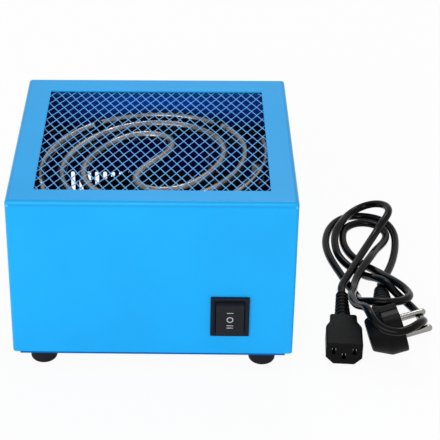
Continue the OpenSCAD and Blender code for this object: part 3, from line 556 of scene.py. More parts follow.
def spline(points, steps):
    """Cubic B-spline guided by points, through the first and the last of them."""
    points = [Vector(p) for p in points]
    guide = [2 * points[0] - points[1], *points, 2 * points[-1] - points[-2]]
    made = []
    for i in range(len(points) - 1):
        for k in range(steps):
            t = k / steps
            made.append(((1 - t) ** 3 * guide[i] + (3 * t ** 3 - 6 * t * t + 4) * guide[i + 1]
                         + (-3 * t ** 3 + 3 * t * t + 3 * t + 1) * guide[i + 2]
                         + t ** 3 * guide[i + 3]) / 6)
    return made + [points[-1]]


def aim(origin, along):
    """Matrix that puts Z along a direction, at an origin."""
    turn = Vector(along).to_track_quat("Z", "Y").to_matrix().to_4x4()
    return Matrix.Translation(Vector(origin)) @ turn


def paint_node(material, *names):
    """Gives carried-over CAD nodes a finish."""
    for name in names:
        if name not in NODES:
            raise RuntimeError(f"the frame has no node {name}")
        slots = NODES[name].data.materials
        slots.clear()
        slots.append(material)


def smooth_line(name, path, radius, material, replaces):
    """A round wire or cord as one open spline; path and radius are in metres."""
    data = bpy.data.curves.new(name, "CURVE")
    data.dimensions = "3D"
    data.bevel_depth = radius
    data.bevel_resolution = 6
    data.use_fill_caps = True
    line = data.splines.new("POLY")
    line.points.add(len(path) - 1)
    for point, p in zip(line.points, path):
        point.co = (*p, 1.0)
    line.use_smooth = True
    return adopt(bpy.data.objects.new(name, data), material, replaces)


# Settings


class WATCHDRYER_PG_case(bpy.types.PropertyGroup):
    """Folded case and its openings."""
    paint: colour("Paint", "Powder coat of the case", "#0db0fc")
    # Inside and the dark tint below are painted light and shade: the blue near the top shades into
    # the dark tint lower down.
    inside: colour("Inside", "Coat inside the case, near the top", "#0669ff")
    painted_shade_tint: colour("Deep inside", "Thin coat inside the case, lower down", "#04186e")
    # The base is painted a darker blue than the case: painted shade along its edge.
    base: colour("Base", "Powder coat of the base", "#0562b4")
    sheet: length("Sheet", "Thickness of the folded sheet", 1.2)
    bend: length("Bend", "Outside radius of the folded edges", 2.5)
    border_side: length("Side border", "Frame left and right of the window", 17.7)
    border_front: length("Front border", "Frame in front of the window", 15.5)
    border_rear: length("Rear border", "Frame behind the window", 20.0)
    slots: IntProperty(name="Slots", description="Number of rear slots", default=10, min=1)
    slot_first: place("First slot", "Middle of the first rear slot, across the case", -65.0)
    slot_pitch: length("Slot pitch", "Spacing of the rear slots", 6.2)
    slot_width: length("Slot width", "Width of a rear slot", 3.0)
    slot_low: length("Slot foot", "Lower end of the rear slots", 26.0)
    slot_high: length("Slot head", "Upper end of the rear slots", 53.0)


class WATCHDRYER_PG_mesh(bpy.types.PropertyGroup):
    """Expanded-metal mesh under the window."""
    # The mesh is the case's blue painted lighter: painted light from overhead on the strands.
    paint: colour("Paint", "Powder coat of the mesh", "#6fbfff")
    pitch_x: length("Short way", "Diamond spacing across the case", 7.3)
    pitch_y: length("Long way", "Diamond spacing front to rear", 12.87)
    skew_x: place("Short skew", "How far a row of diamonds runs to the rear in one spacing", 0.09)
    skew_y: place("Long skew", "How far a file of diamonds runs to the right in one spacing", 0.304)
    start_x: place("Start across", "Middle bond from the middle of the sheet, across", -1.47)
    start_y: place("Start along", "Middle bond from the middle of the sheet, to the rear", -2.1)
    strand: length("Strand", "Width of a strand", 0.56)
    gauge: length("Gauge", "Thickness of the expanded sheet", 0.55)
    lift: length("Lift", "How far a bond stands out of the middle plane on each side", 0.16)
    tilt: angle("Tilt", "How far a strand is turned about its own line", 24.0)


class WATCHDRYER_PG_heater(bpy.types.PropertyGroup):
    """Double-spiral tubular heater."""
    sheath: colour("Sheath", "Rubbed heater sheath", "#948a84")
    oxide: colour("Oxide", "Oxide on the heater sheath", "#645d58")
    start: length("Start radius", "Radius that the spiral grows from", 35.5)
    step: length("Growth", "Growth of an arm in one turn", 31.7)
    oval: length("Oval", "How far the turns are drawn out", 6.6)
    flat: amount("Flattening", "Share of its depth that the coil keeps", 0.89)
    margin: length("Margin", "From the end of an arm to the side of the case", 9.8)
    oval_turn: angle("Oval direction", "Direction of the long way of the oval", 69.6)
    first: angle("First angle", "Where the middle bend meets an arm", 118.0)


class WATCHDRYER_PG_switch(bpy.types.PropertyGroup):
    """Rocker switch in the front panel."""
    # The blue cast in the frame's black is a painted reflection of the blue case.
    frame: colour("Frame", "Switch housing", "#131a28")
    rocker: colour("Rocker", "Rocker", "#1e1f24")
    marks: colour("Marks", "Printed position marks", "#c4c7cc")
    corner: length("Corner", "Corner radius of the bezel", 0.5)
    mark_width: length("Mark width", "Width of the bars", 4.4)
    mark_pitch: length("Mark pitch", "Spacing of the marks", 5.5)


class WATCHDRYER_PG_lead(bpy.types.PropertyGroup):
    """Detached power lead."""
    vinyl: colour("Vinyl", "Cord and moulded ends", "#070708")
    nickel: colour("Nickel", "Plug pins and earth clips", "#94928e")
    cord: length("Cord", "Diameter of the cord", 5.8)
    run: length("Run", "Length of the cord between its reliefs", 1073.4)


class WATCHDRYER_PG_stage(bpy.types.PropertyGroup):
    """Camera, floor and lights."""
    floor: colour("Floor", "Floor of the studio", "#fefefe")
    lens: FloatProperty(name="Lens", description="Focal length in millimetres", default=121.36)
    sky: amount("Sky", "Strength of the even light from all round", 0.45)
    key: amount("Key", "Power of the front light in watts", 12.6)
    top: amount("Top", "Power of the overhead light in watts", 3.6)
    shadow: amount("Shadow", "Share of the object's shadow that the floor shows", 0.06)


GROUPS = {
    "watchdryer_case": WATCHDRYER_PG_case,
    "watchdryer_mesh": WATCHDRYER_PG_mesh,
    "watchdryer_heater": WATCHDRYER_PG_heater,
    "watchdryer_switch": WATCHDRYER_PG_switch,
    "watchdryer_lead": WATCHDRYER_PG_lead,
    "watchdryer_stage": WATCHDRYER_PG_stage,
}


def settings(part):
    return getattr(bpy.context.scene, "watchdryer_" + part)


def in_mm(value):
    return value / MM


def corners(node):
    """Lowest and highest corner of a CAD node, in millimetres."""
    low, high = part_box(node)
    return low / MM, high / MM


# Stage


class WATCHDRYER_OT_stage(bpy.types.Operator):
    """Camera at the photograph's angle, pale floor and soft studio light"""
    bl_idname = "watchdryer.stage"
    bl_label = "Stage"

    EYE = (0.02018, -0.90592, 0.61711)
    YAW = math.radians(-1.702)
    PITCH = math.radians(29.329)
    ROLL = math.radians(-0.462)
    SHIFT = (0.171, -0.1197)
    SENSOR = 36.0
    FLOOR_REACH = 6.0
    UNDER_FROM = 0.022
    UNDER_FULL = 0.05
    FRONT_SIZE = (1.3, 0.7)
    FRONT_SPOT = (-0.42, -1.38, 0.78)
    FRONT_TARGET = (0.02, 0.0, 0.07)
    TOP_SIZE = (0.36, 0.28)
    TOP_SPOT = (0.1, 0.8, 1.15)
    TOP_TARGET = (0.02, 0.0, 0.1)

    def execute(self, context):
        look = settings("stage")
        scene = context.scene
        scene.view_settings.view_transform = "Standard"
        self.camera(scene, look)
        self.floor(scene, look)
        self.world(scene, look)
        self.lamp(scene, "front_light", look.key, self.FRONT_SIZE, self.FRONT_SPOT,
                  self.FRONT_TARGET)
        self.lamp(scene, "top_light", look.top, self.TOP_SIZE, self.TOP_SPOT, self.TOP_TARGET)
        return {"FINISHED"}

    def camera(self, scene, look):
        """Looks along yaw and pitch, with the roll turned about the line of sight."""
        level = math.cos(self.PITCH)
        ahead = Vector((math.sin(self.YAW) * level, math.cos(self.YAW) * level,
                        -math.sin(self.PITCH)))
        right = Vector((math.cos(self.YAW), -math.sin(self.YAW), 0.0))
        up = right.cross(ahead)
        across = math.cos(self.ROLL) * right + math.sin(self.ROLL) * up
        upright = -math.sin(self.ROLL) * right + math.cos(self.ROLL) * up
        data = bpy.data.cameras.new("photo_camera")
        data.sensor_width = self.SENSOR
        data.lens = look.lens
        data.shift_x, data.shift_y = self.SHIFT
        data.clip_start, data.clip_end = 0.05, 20.0
        camera = bpy.data.objects.new("photo_camera", data)
        turn = Matrix((across, upright, -ahead)).transposed().to_4x4()
        camera.matrix_world = Matrix.Translation(self.EYE) @ turn
        scene.collection.objects.link(camera)
        scene.camera = camera

    def floor(self, scene, look):
        """White to the eye with a trace of shadow, and truly shaded under the base."""
        reach = self.FLOOR_REACH
        mesh = bpy.data.meshes.new("studio_floor")
        mesh.from_pydata([(sx * reach, sy * reach, 0.0)
                          for sx, sy in ((-1, -1), (1, -1), (1, 1), (-1, 1))], [], [(0, 1, 2, 3)])
        f = Finish("studio_floor")
        paper = f.noise(300.0, 3.0)
        f.set(Base_Color=f.mix(f.spread(paper, 0.3, 0.7), shade(look.floor, 0.97), look.floor),
              Roughness=0.9, Specular_IOR_Level=0.1)
        glow = f.node("ShaderNodeEmission", sockets={"Color": (1, 1, 1, 1), "Strength": 1.0})
        low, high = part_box("base_tray")
        middle, half = (low + high) / 2, (high - low) / 2
        x, y, _ = f.axes()
        inward = (half.x - abs(x - middle.x)).least(half.y - abs(y - middle.y))
        open_floor = f.spread(inward, self.UNDER_FROM, self.UNDER_FULL, 1.0 - look.shadow, 0.0)
        f.surface(f.node("ShaderNodeMixShader", sockets={
            0: f.to_the_eye() * open_floor, 1: Value(f, f.shader.outputs[0]), 2: glow}))
        floor = bpy.data.objects.new("studio_floor", mesh)
        mesh.materials.append(f.material)
        scene.collection.objects.link(floor)

    def world(self, scene, look):
        world = bpy.data.worlds.new("studio_light")
        f = Finish("studio_light", world)
        even, white = (f.node("ShaderNodeBackground", sockets={
            "Color": (1, 1, 1, 1), "Strength": strength}) for strength in (look.sky, 1.0))
        f.surface(f.node("ShaderNodeMixShader", sockets={0: f.to_the_eye(), 1: even, 2: white}))
        scene.world = world

    def lamp(self, scene, name, watts, size, spot, target):
        data = bpy.data.lights.new(name, "AREA")
        data.shape = "RECTANGLE"
        data.size, data.size_y = size
        data.energy = watts
        lamp = bpy.data.objects.new(name, data)
        lamp.location = spot
        lamp.rotation_euler = (Vector(target) - Vector(spot)).to_track_quat("-Z", "Y").to_euler()
        scene.collection.objects.link(lamp)


# Power lead


class WATCHDRYER_OT_lead(bpy.types.Operator):
    """Detached power lead: cord, appliance connector, right-angle plug and ribbed reliefs"""
    bl_idname = "watchdryer.lead"
    bl_label = "Power lead"

    PLUG_AT = Vector((172.0, -62.8, 18.624))
    PLUG_TURN = math.radians(6.0)
    PLUG_LIFT = math.radians(16.0)
    PLUG_FLAT = 14.5
    NECK_AT = Vector((160.528, -64.006, 15.316))
    BOOT_END = Vector((165.5, 0.5, 6.0))
    NOSE_AT = Vector((131.0, -82.0, 0.0))
    NOSE_TURN = math.radians(-3.7)
    BODY_RUN = 38.0
    RELIEF_RUN = 35.0
    CORD_HEIGHT = 8.6
    SLOTS = ((-7.0, 10.5), (7.0, 10.5), (0.0, 6.5))
    SLOT_HALF = (1.4, 2.4)
    SLOT_DEPTH = 14.0
    PIN_RADIUS = 2.4
    PIN_REACH = 19.0
    PIN_OFFSET = 9.5
    GROOVE_HALF = 3.0
    GROOVE_DEPTH = 1.5
    CLIP_HALF = 2.7
    CLIP_RUN = 12.0
    PAST = 1.0

    def execute(self, context):
        look = settings("lead")
        vinyl = soft_vinyl("cord_vinyl", look.vinyl)
        moulding = moulded_plastic("moulded_vinyl", look.vinyl, 0.46, 1100.0, 0.00008, 0.08)
        nickel = plated_metal("nickel_plate", look.nickel, 0.17)
        cord = smooth_line(
            "power_cord_vinyl",
            [(p.x, p.y, max(p.z, look.cord / 2)) for p in spline(self.route(), 12)],
            look.cord / 2, vinyl, ("power_cord",))
        ends = [self.connector(moulding), self.connector_relief(moulding),
                self.plug(moulding), self.plug_relief(moulding),
                self.pins(nickel),
                # The earth clips' nickel is painted almost black: painted shade.
                self.clips(plated_metal("clip_nickel_painted_shade", shade(look.nickel, 0.12), 0.40))]
        paint_node(plated_metal("contact_nickel", srgb("#efece2"), 0.2), "connector_contacts")
        return {"FINISHED"}

    def nose_frame(self):
        """Connector axes: Y from its face towards the cord."""
        return Matrix.Translation(self.NOSE_AT) @ Matrix.Rotation(self.NOSE_TURN, 4, "Z")

    def route(self):
        """Straight out of the connector's relief, through the loops, straight into the boot."""
        tip = Vector((0, self.BODY_RUN + self.RELIEF_RUN, self.CORD_HEIGHT))
        start = [self.nose_frame() @ (tip + Vector((0, run, 0))) for run in (0, 5, 11)]
        into = (self.BOOT_END - self.NECK_AT).normalized()
        end = [self.BOOT_END + run * into for run in (11, 5, 0)]
        return [p * MM for p in start] + [Vector(p) for p in CORD_ROUTE] + [p * MM for p in end]

    def connector(self, material):
        """Nose with chamfered lower corners, waisted grip and three contact slots."""
        shape = Shape()
        width, height, cut = 25.0, 17.0, 5.1
        stations = [(0.0, width / 2 - 0.5, 0.6), (0.7, width / 2, 0.0), (21.0, width / 2, 0.0),
                    (23.5, width / 2 - 0.7, 0.1), (28.0, 9.9, 0.5), (30.0, 9.5, 0.6),
                    (36.6, 9.4, 0.8), (38.0, 8.4, 2.0)]
        rings = []
        for along, half, inset in stations:
            bevel = cut * max(0.25, min(1.0, (30.0 - along) / 7.0))
            top = height - inset
            low = inset * 0.5
            outline = [(-half, low + bevel), (-half + bevel, low), (half - bevel, low),
                       (half, low + bevel), (half, top - 1.0), (half - 1.0, top),
                       (-half + 1.0, top), (-half, top - 1.0)]
            rings.append([self.nose_frame() @ Vector((x, along, z)) for x, z in outline])
        shape.loft(rings)
        body = shape.piece("connector_moulding", material, ("connector_body",))
        cutters = Shape()
        wide, tall = self.SLOT_HALF
        for x, z in self.SLOTS:
            cutters.box((x - wide, -self.PAST, z - tall), (x + wide, self.SLOT_DEPTH, z + tall),
                        self.nose_frame())
        carve(body, cutters)
        return round_edges(body, 0.55, 3, 30.0)

    def sleeve(self, shape, run, foot, tip, ribs, to):
        """Tapered sleeve with raised rounded ribs."""
        profile = []
        pitch = run / ribs
        for i in range(ribs):
            for share, rise in ((0.0, 0.0), (0.12, 0.0), (0.20, 0.45), (0.32, 0.7), (0.55, 0.7),
                                (0.67, 0.45), (0.75, 0.0), (0.95, 0.0)):
                at = (i + share) / ribs
                profile.append((foot + (tip - foot) * at + rise, at * run))
        profile += [(tip, run), (tip - 0.3, run)]
        return shape.lathe(profile, 40, to)

    def connector_relief(self, material):
        shape = Shape()
        to = self.nose_frame() @ aim((0, self.BODY_RUN, self.CORD_HEIGHT), (0, 1, 0))
        self.sleeve(shape, self.RELIEF_RUN, 5.4, 3.5, 8, to)
        return shape.piece("connector_ribs", material, ("connector_relief",))

    def plug_frame(self):
        """Plug axes: X along the pins, Y between them."""
        return (Matrix.Translation(self.PLUG_AT) @ Matrix.Rotation(self.PLUG_TURN, 4, "Z")
                @ Matrix.Rotation(-self.PLUG_LIFT, 4, "Y"))

    def plug(self, material):
        """Round face with flats and earth grooves, tapered back and a side neck."""
        shape = Shape()
        frame_ = self.plug_frame()
        steps = 72
        rings = []
        flat = self.PLUG_FLAT
        for back, radius in ((0.0, 16.2), (0.25, 16.7), (0.8, 17.0), (11.4, 17.0), (12.6, 16.6),
                             (22.6, 11.7), (23.6, 11.0), (24.0, 10.2)):
            ring = []
            for k in range(steps):
                a = math.tau * k / steps
                y, z = radius * math.cos(a), radius * math.sin(a)
                ring.append(frame_ @ Vector((-back, y, max(-flat, min(flat, z)))))
            rings.append(ring)
        shape.loft(rings)
        body = shape.piece("plug_moulding", material, ("plug_body",))
        neck = Shape()
        run = self.BOOT_END - self.NECK_AT
        half = run.length / 2
        neck.lathe([(10.2, 0.0), (9.8, 0.25 * half), (9.24, 0.6 * half), (8.7, 0.95 * half),
                    (8.3, 0.99 * half), (7.8, half)], 48, aim(self.NECK_AT, run))
        carve(body, neck, "UNION")
        grooves = Shape()
        for side in (-1, 1):
            middle = side * flat
            grooves.box((-self.CLIP_RUN - self.PAST, -self.GROOVE_HALF, middle - self.GROOVE_DEPTH),
                        (self.PAST, self.GROOVE_HALF, middle + self.GROOVE_DEPTH), frame_)
        hole = Vector((0, 0, self.PIN_OFFSET))
        grooves.lathe([(2.5, -9.0), (2.5, 3.0)], 32, frame_ @ aim(hole, (1, 0, 0)))
        carve(body, grooves)
        return round_edges(body, 0.5, 2, 35.0)

    def plug_relief(self, material):
        shape = Shape()
        run = self.BOOT_END - self.NECK_AT
        self.sleeve(shape, run.length / 2, 7.6, 4.3, 6, aim(self.NECK_AT + run / 2, run))
        return shape.piece("plug_ribs", material, ("plug_relief",))

    def pins(self, material):
        shape = Shape()
        radius, reach = self.PIN_RADIUS, self.PIN_REACH
        for side in (-1, 1):
            to = (self.plug_frame() @ Matrix.Translation((0, side * self.PIN_OFFSET, 0))
                  @ Matrix.Rotation(math.pi / 2, 4, "Y"))
            profile = [(radius, -8.0), (radius, reach - radius)]
            profile += [(radius * math.cos(a), reach - radius + radius * math.sin(a))
                        for a in (math.radians(d) for d in (18, 36, 54, 70, 82))]
            shape.lathe(profile, 32, to)
        return shape.piece("plug_round_pins", material, ("plug_pins",), crease=60.0)

    def clips(self, material):
        shape = Shape()
        for side in (-1, 1):
            middle = side * (self.PLUG_FLAT - 1.0)
            shape.box((-self.CLIP_RUN, -self.CLIP_HALF, middle - 0.5),
                      (0.0, self.CLIP_HALF, middle + 0.5), self.plug_frame())
        clips = shape.piece("plug_earth_strips", material, ("plug_earth_clips",))
        return round_edges(clips, 0.25, 2)


# Case


class WATCHDRYER_OT_case(bpy.types.Operator):
    """Folded cover with its window, switch and inlet openings and rear slots; base and strips"""
    bl_idname = "watchdryer.case"
    bl_label = "Case"

    SWITCH_CUT = (41.0, 63.0, 30.2, 57.8)
    INLET_CUT = (36.3, 63.7, 34.1, 53.9)
    # Heights in metres between which the painted shade inside the case goes from darkest to
    # lightest.
    PAINTED_SHADE_DEEPEST = 0.082
    PAINTED_SHADE_LIGHTEST = 0.126
    FOLD_STEPS = 6
    ROUND_STEPS = 8

    def execute(self, context):
        look = settings("case")
        # The case coat carries painted shade lines along its folds and painted highlights at its
        # upper corners.
        paint = powder_paint("case_coat_painted_fold_light", look.paint,
                             folds=(*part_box("cover"), look.bend))
        self.cover(look, paint)
        # Base and strips are darker blues than the case: painted shade, the strips darker still.
        paint_node(powder_paint("base_coat_painted_shade", look.base, specular=0.08), "base_tray")
        paint_node(powder_paint("strip_coat_painted_shade", shade(look.base, 0.8)),
                   "strip_left", "strip_right", "strip_front", "strip_rear")
        return {"FINISHED"}

    def cover(self, look, paint):
        low, high = corners("cover")
        r = in_mm(look.bend)
        x0, x1 = low.x + r, high.x - r
        y0, y1 = low.y + r, high.y - r
        z0, z1 = low.z, high.z - r
        window = (low.x + in_mm(look.border_side), high.x - in_mm(look.border_side),
                  low.y + in_mm(look.border_front), high.y - in_mm(look.border_rear))
        switch, inlet = self.SWITCH_CUT, self.INLET_CUT
        turns = [math.pi / 2 * k / self.FOLD_STEPS for k in range(self.FOLD_STEPS + 1)]
        rounds = [math.pi / 2 * k / self.ROUND_STEPS for k in range(self.ROUND_STEPS + 1)]
        pitch, wide = in_mm(look.slot_pitch), in_mm(look.slot_width)
        foot, head = in_mm(look.slot_low), in_mm(look.slot_high)
        middles = [in_mm(look.slot_first) + i * pitch for i in range(look.slots)]
        bounds = [m - pitch / 2 for m in middles] + [middles[-1] + pitch / 2]
        rows = (foot - 1.5, head + 1.5)
        xs = sorted({x0, x1, *window[:2], *switch[:2], *inlet[:2], *middles, *bounds})
        ys = sorted({y0, y1, *window[2:]})
        zs = sorted({z0, z1, *switch[2:], *inlet[2:], *rows})
        shape = Shape()

        def within(a, b, limits):
            return limits[0] - 1e-6 <= a and b <= limits[1] + 1e-6

        def panel(us, vs, at, skip):
            for u, u2 in zip(us, us[1:]):
                for v, v2 in zip(vs, vs[1:]):
                    if not skip(u, u2, v, v2):
                        shape.patch([at(u, v), at(u2, v), at(u2, v2), at(u, v2)], [(0, 1, 2, 3)])

        def bend(line, core, one, two):
            """Quarter turn from normal one to normal two along a line of positions."""
            normals = [one * math.cos(a) + two * math.sin(a) for a in turns]
            for p, q in zip(line, line[1:]):
                for m, n in zip(normals, normals[1:]):
                    shape.patch([core(p) + r * m, core(q) + r * m, core(q) + r * n,
                                 core(p) + r * n], [(0, 1, 2, 3)])

        slotted = (bounds[0], bounds[-1])
        panel(xs, ys, lambda x, y: Vector((x, y, high.z)),
              lambda a, b, c, d: within(a, b, window[:2]) and within(c, d, window[2:]))
        panel(xs, zs, lambda x, z: Vector((x, low.y, z)),
              lambda a, b, c, d: within(a, b, switch[:2]) and within(c, d, switch[2:]))
        panel(xs, zs, lambda x, z: Vector((x, high.y, z)),
              lambda a, b, c, d: (within(a, b, inlet[:2]) and within(c, d, inlet[2:]))
              or (within(a, b, slotted) and within(c, d, rows)))
        for x in (low.x, high.x):
            panel(ys, zs, lambda y, z: Vector((x, y, z)), lambda *cell: False)
        for middle, edge, side in [(m, b, s) for i, m in enumerate(middles)
                                   for b, s in ((bounds[i], -1), (bounds[i + 1], 1))]:
            outline = [(edge, z) for z in zs if rows[0] <= z <= rows[1]] + [(middle, rows[1])]
            outline += [(middle + side * wide / 2 * math.sin(a),
                         head - wide / 2 + wide / 2 * math.cos(a)) for a in rounds]
            outline += [(middle + side * wide / 2 * math.cos(a),
                         foot + wide / 2 - wide / 2 * math.sin(a)) for a in rounds]
            outline.append((middle, rows[0]))
            shape.patch([Vector((x, high.y, z)) for x, z in outline], [range(len(outline))])
        top, front, rear = Vector((0, 0, 1)), Vector((0, -1, 0)), Vector((0, 1, 0))
        left, right = Vector((-1, 0, 0)), Vector((1, 0, 0))
        bend(xs, lambda x: Vector((x, y0, z1)), top, front)
        bend(xs, lambda x: Vector((x, y1, z1)), top, rear)
        bend(ys, lambda y: Vector((x0, y, z1)), top, left)
        bend(ys, lambda y: Vector((x1, y, z1)), top, right)
        for x, side in ((x0, left), (x1, right)):
            for y, face in ((y0, front), (y1, rear)):
                bend(zs, lambda z: Vector((x, y, z)), face, side)
                core = Vector((x, y, z1))
                for e, e2 in zip(turns, turns[1:]):
                    for a, a2 in zip(turns, turns[1:]):
                        shape.patch([core + r * (math.cos(i) * (math.cos(j) * face
                                                                + math.sin(j) * side)
                                                 + math.sin(i) * top)
                                     for i, j in ((e, a), (e, a2), (e2, a2), (e2, a))],
                                    [(0, 1, 2, 3)])
        bmesh.ops.remove_doubles(shape.bm, verts=shape.bm.verts, dist=0.001)
        bmesh.ops.dissolve_degenerate(shape.bm, edges=shape.bm.edges, dist=0.0005)
        cover = shape.piece("folded_cover", paint, ("cover",), crease=60.0)
        # The inside of the sheet gets painted shade: dark lower down and at the sides, lighter near
        # the top.
        cover.data.materials.append(inside_coat_with_painted_shade("case_inside_painted_shade", look.inside, look.painted_shade_tint,
                                                 self.PAINTED_SHADE_DEEPEST, self.PAINTED_SHADE_LIGHTEST))
        wall = cover.modifiers.new("sheet", "SOLIDIFY")
        wall.thickness = look.sheet
        wall.offset = -1.0
        wall.use_even_offset = True
        wall.material_offset = 1
        round_edges(cover, 0.22, 2, 60.0)


# Mesh


class WATCHDRYER_OT_mesh(bpy.types.Operator):
    """Expanded-metal mesh: tilted strands that meet in raised bonds"""
    bl_idname = "watchdryer.mesh"
    bl_label = "Mesh"

    def execute(self, context):
        look = settings("mesh")
        low, high = corners("mesh_grille")
        short = Vector((look.pitch_x, look.skew_x, 0.0)) / MM
        long = Vector((look.skew_y, look.pitch_y, 0.0)) / MM
        first = Vector((look.start_x, look.start_y, 0.0)) / MM
        wide, gauge, lift = in_mm(look.strand), in_mm(look.gauge), in_mm(look.lift)
        centre = (low + high) / 2
        rise = Vector((0, 0, lift))
        half_x, half_y = (high.x - low.x) / 2 - 0.6, (high.y - low.y) / 2 - 0.6

        def on_sheet(p):
            return abs(p.x) <= half_x and abs(p.y) <= half_y

        shape = Shape()
        many_x, many_y = int(half_x / short.x) + 2, int(half_y / long.y) + 2
        nodes = [p for row in (0.0, 0.5) for i in range(-many_x, many_x + 1)
                 for j in range(-many_y, many_y + 1)
                 if on_sheet(p := first + (i + row) * short + (j + row) * long)]
        for p in nodes:
            self.bond(shape, centre + p, wide, gauge, lift)
            for turn in (1, -1):
                end = p + (short + turn * long) / 2
                if on_sheet(end):
                    self.strand(shape, centre + p + rise, centre + end - rise, wide, gauge,
                                turn * look.tilt)
        # Lighter blue than the case: painted light on the strands.
        paint = powder_paint("mesh_coat_painted_light", look.paint, 0.40, 1.4)
        mesh = shape.piece("expanded_mesh", paint, ("mesh_grille",), crease=30.0)
        if len(nodes) < 100:
            raise RuntimeError("the mesh came out with too few bonds")
        round_edges(mesh, 0.12, 1, 30.0)
        return {"FINISHED"}

    def bond(self, shape, at, wide, gauge, lift):
        """Short thick bridge, long from front to rear, tipped up to the right."""
        tip = math.atan2(2 * lift, 1.5 * wide)
        to = Matrix.Translation(at) @ Matrix.Rotation(-tip, 4, "Y")
        outline = [(-0.75 * wide, -0.9 * wide), (0, -1.9 * wide), (0.75 * wide, -0.9 * wide),
                   (0.75 * wide, 0.9 * wide), (0, 1.9 * wide), (-0.75 * wide, 0.9 * wide)]
        shape.loft([[to @ Vector((x, y, z)) for x, y in outline]
                    for z in (-gauge / 2, gauge / 2)])

    def strand(self, shape, start, end, wide, gauge, tilt):
        along = (end - start).normalized()
        across = Vector((0, 0, 1)).cross(along).normalized()
        upward = along.cross(across)
        side = math.cos(tilt) * across + math.sin(tilt) * upward
        face = along.cross(side)
        ring = [side * (sx * wide / 2) + face * (sz * gauge / 2)
                for sx, sz in ((-1, -1), (1, -1), (1, 1), (-1, 1))]
        start, end = start + along * 0.3, end - along * 0.3
        shape.loft([[p + offset for offset in ring] for p in (start, end)])


# Heater


class WATCHDRYER_OT_heater(bpy.types.Operator):
    """Double-spiral heater tube on its rails, with clips, seals, pins and cut-out"""
    bl_idname = "watchdryer.heater"
    bl_label = "Heater"

    RADIUS = 3.2
    LEG_BEND = 9.0
    LEG_DROP = 14.0
    MIDDLE_PULL = 47.0
    MIDDLE_LEAN = math.radians(50.0)
    ARM_PULL = 22.0

    def execute(self, context):
        look = settings("heater")
        shape = Shape()
        low, high = corners("heater_tube")
        middle = Vector((0.0, (low.y + high.y) / 2, high.z - self.RADIUS))
        shape.tube([middle + p for p in self.path(look)], self.RADIUS, 20,
                   self.heading(look, self.last(look)))
        tube = shape.piece("heater_coil", heater_sheath("heater_sheath", look.sheath, look.oxide),
                           ("heater_tube",))
        if abs(tube.dimensions.x / MM - (high.x - low.x)) > 2.0:
            raise RuntimeError("the heater coil doesn't follow its node")
        dark = plated_metal("blackened_steel", srgb("#14171f"), 0.5, (9.0, 1.0, 1.0))
        paint_node(dark, "rail_front", "rail_rear", "heater_clips", "rail_posts")
        paint_node(plated_metal("zinc_steel", srgb("#b5b8bc"), 0.32), "rail_screws", "heater_pins")
        paint_node(glazed_ceramic("heater_ceramic", srgb("#d9d2c2")), "heater_seals")
        paint_node(moulded_plastic("cutout_phenolic", srgb("#3a2c20"), 0.5), "thermal_cutout")
        return {"FINISHED"}

    def last(self, look):
        """Angle at which an arm ends beside the wall of the case, in degrees."""
        side = corners("cover")[1].x - in_mm(look.margin)
        return 360.0 * (side - in_mm(look.start)) / in_mm(look.step)

    def point(self, look, t):
        """A point of the oval spiral at an angle in degrees."""
        a = math.radians(t)
        r = (in_mm(look.start) + in_mm(look.step) * t / 360.0
             + in_mm(look.oval) * math.cos(2 * (a - look.oval_turn)))
        return Vector((r * math.cos(a), look.flat * r * math.sin(a), 0.0))

    def heading(self, look, t):
        return (self.point(look, t + 0.5) - self.point(look, t - 0.5)).normalized()

    def path(self, look):
        """One arm from the middle outwards and down its leg, and the same turned half round."""
        first, last = math.degrees(look.first), self.last(look)
        start = self.point(look, first)
        lean = Vector((math.cos(self.MIDDLE_LEAN), math.sin(self.MIDDLE_LEAN), 0.0))
        hull = (Vector((0, 0, 0)), self.MIDDLE_PULL * lean,
                start - self.ARM_PULL * self.heading(look, first), start)
        arm = []
        for k in range(1, 30):
            t = k / 30
            arm.append((1 - t) ** 3 * hull[0] + 3 * t * (1 - t) ** 2 * hull[1]
                       + 3 * t * t * (1 - t) * hull[2] + t ** 3 * hull[3])
        arm += [self.point(look, first + (last - first) * k / 180) for k in range(181)]
        end, along = self.point(look, last), self.heading(look, last)
        for k in range(1, 13):
            a = math.pi / 2 * k / 12
            arm.append(end + self.LEG_BEND * (math.sin(a) * along
                                              - (1 - math.cos(a)) * Vector((0, 0, 1))))
        arm.append(arm[-1] - Vector((0, 0, self.LEG_DROP)))
        other = [Vector((-p.x, -p.y, p.z)) for p in reversed(arm)]
        return other + arm


# Fan and wiring


class WATCHDRYER_OT_fan(bpy.types.Operator):
    """Finishes of the fan, its motor and its fasteners"""
    bl_idname = "watchdryer.fan"
    bl_label = "Fan"

    def execute(self, context):
        # The fan's near-black plastics carry a blue tint: painted light bounced from the blue case.
        paint_node(moulded_plastic("fan_nylon_painted_blue_bounce", srgb("#10151f"), 0.5), "fan_housing")
        paint_node(moulded_plastic("fan_blade_painted_blue_bounce", srgb("#0e1219"), 0.44), "fan_rotor")
        zinc = plated_metal("zinc_fastener", srgb("#b9bcc0"), 0.3)
        paint_node(zinc, "fan_screws", "fan_shaft", "shaft_clip", "foot_screws", "cover_screws",
                   "m4_nuts", "earth_stud")
        paint_node(plated_metal("brass_spacer", srgb("#c09a52"), 0.3), "fan_spacers")
        paint_node(plated_metal("sintered_bronze", srgb("#8d7a5c"), 0.45), "bearing_lower",
                   "bearing_upper")
        paint_node(plated_metal("lamination_steel", srgb("#6a6d72"), 0.5, (1.0, 1.0, 30.0)),
                   "stator_core")
        paint_node(plated_metal("enamelled_copper", srgb("#b4622d"), 0.35, (1.0, 1.0, 16.0)),
                   "stator_coils")
        return {"FINISHED"}


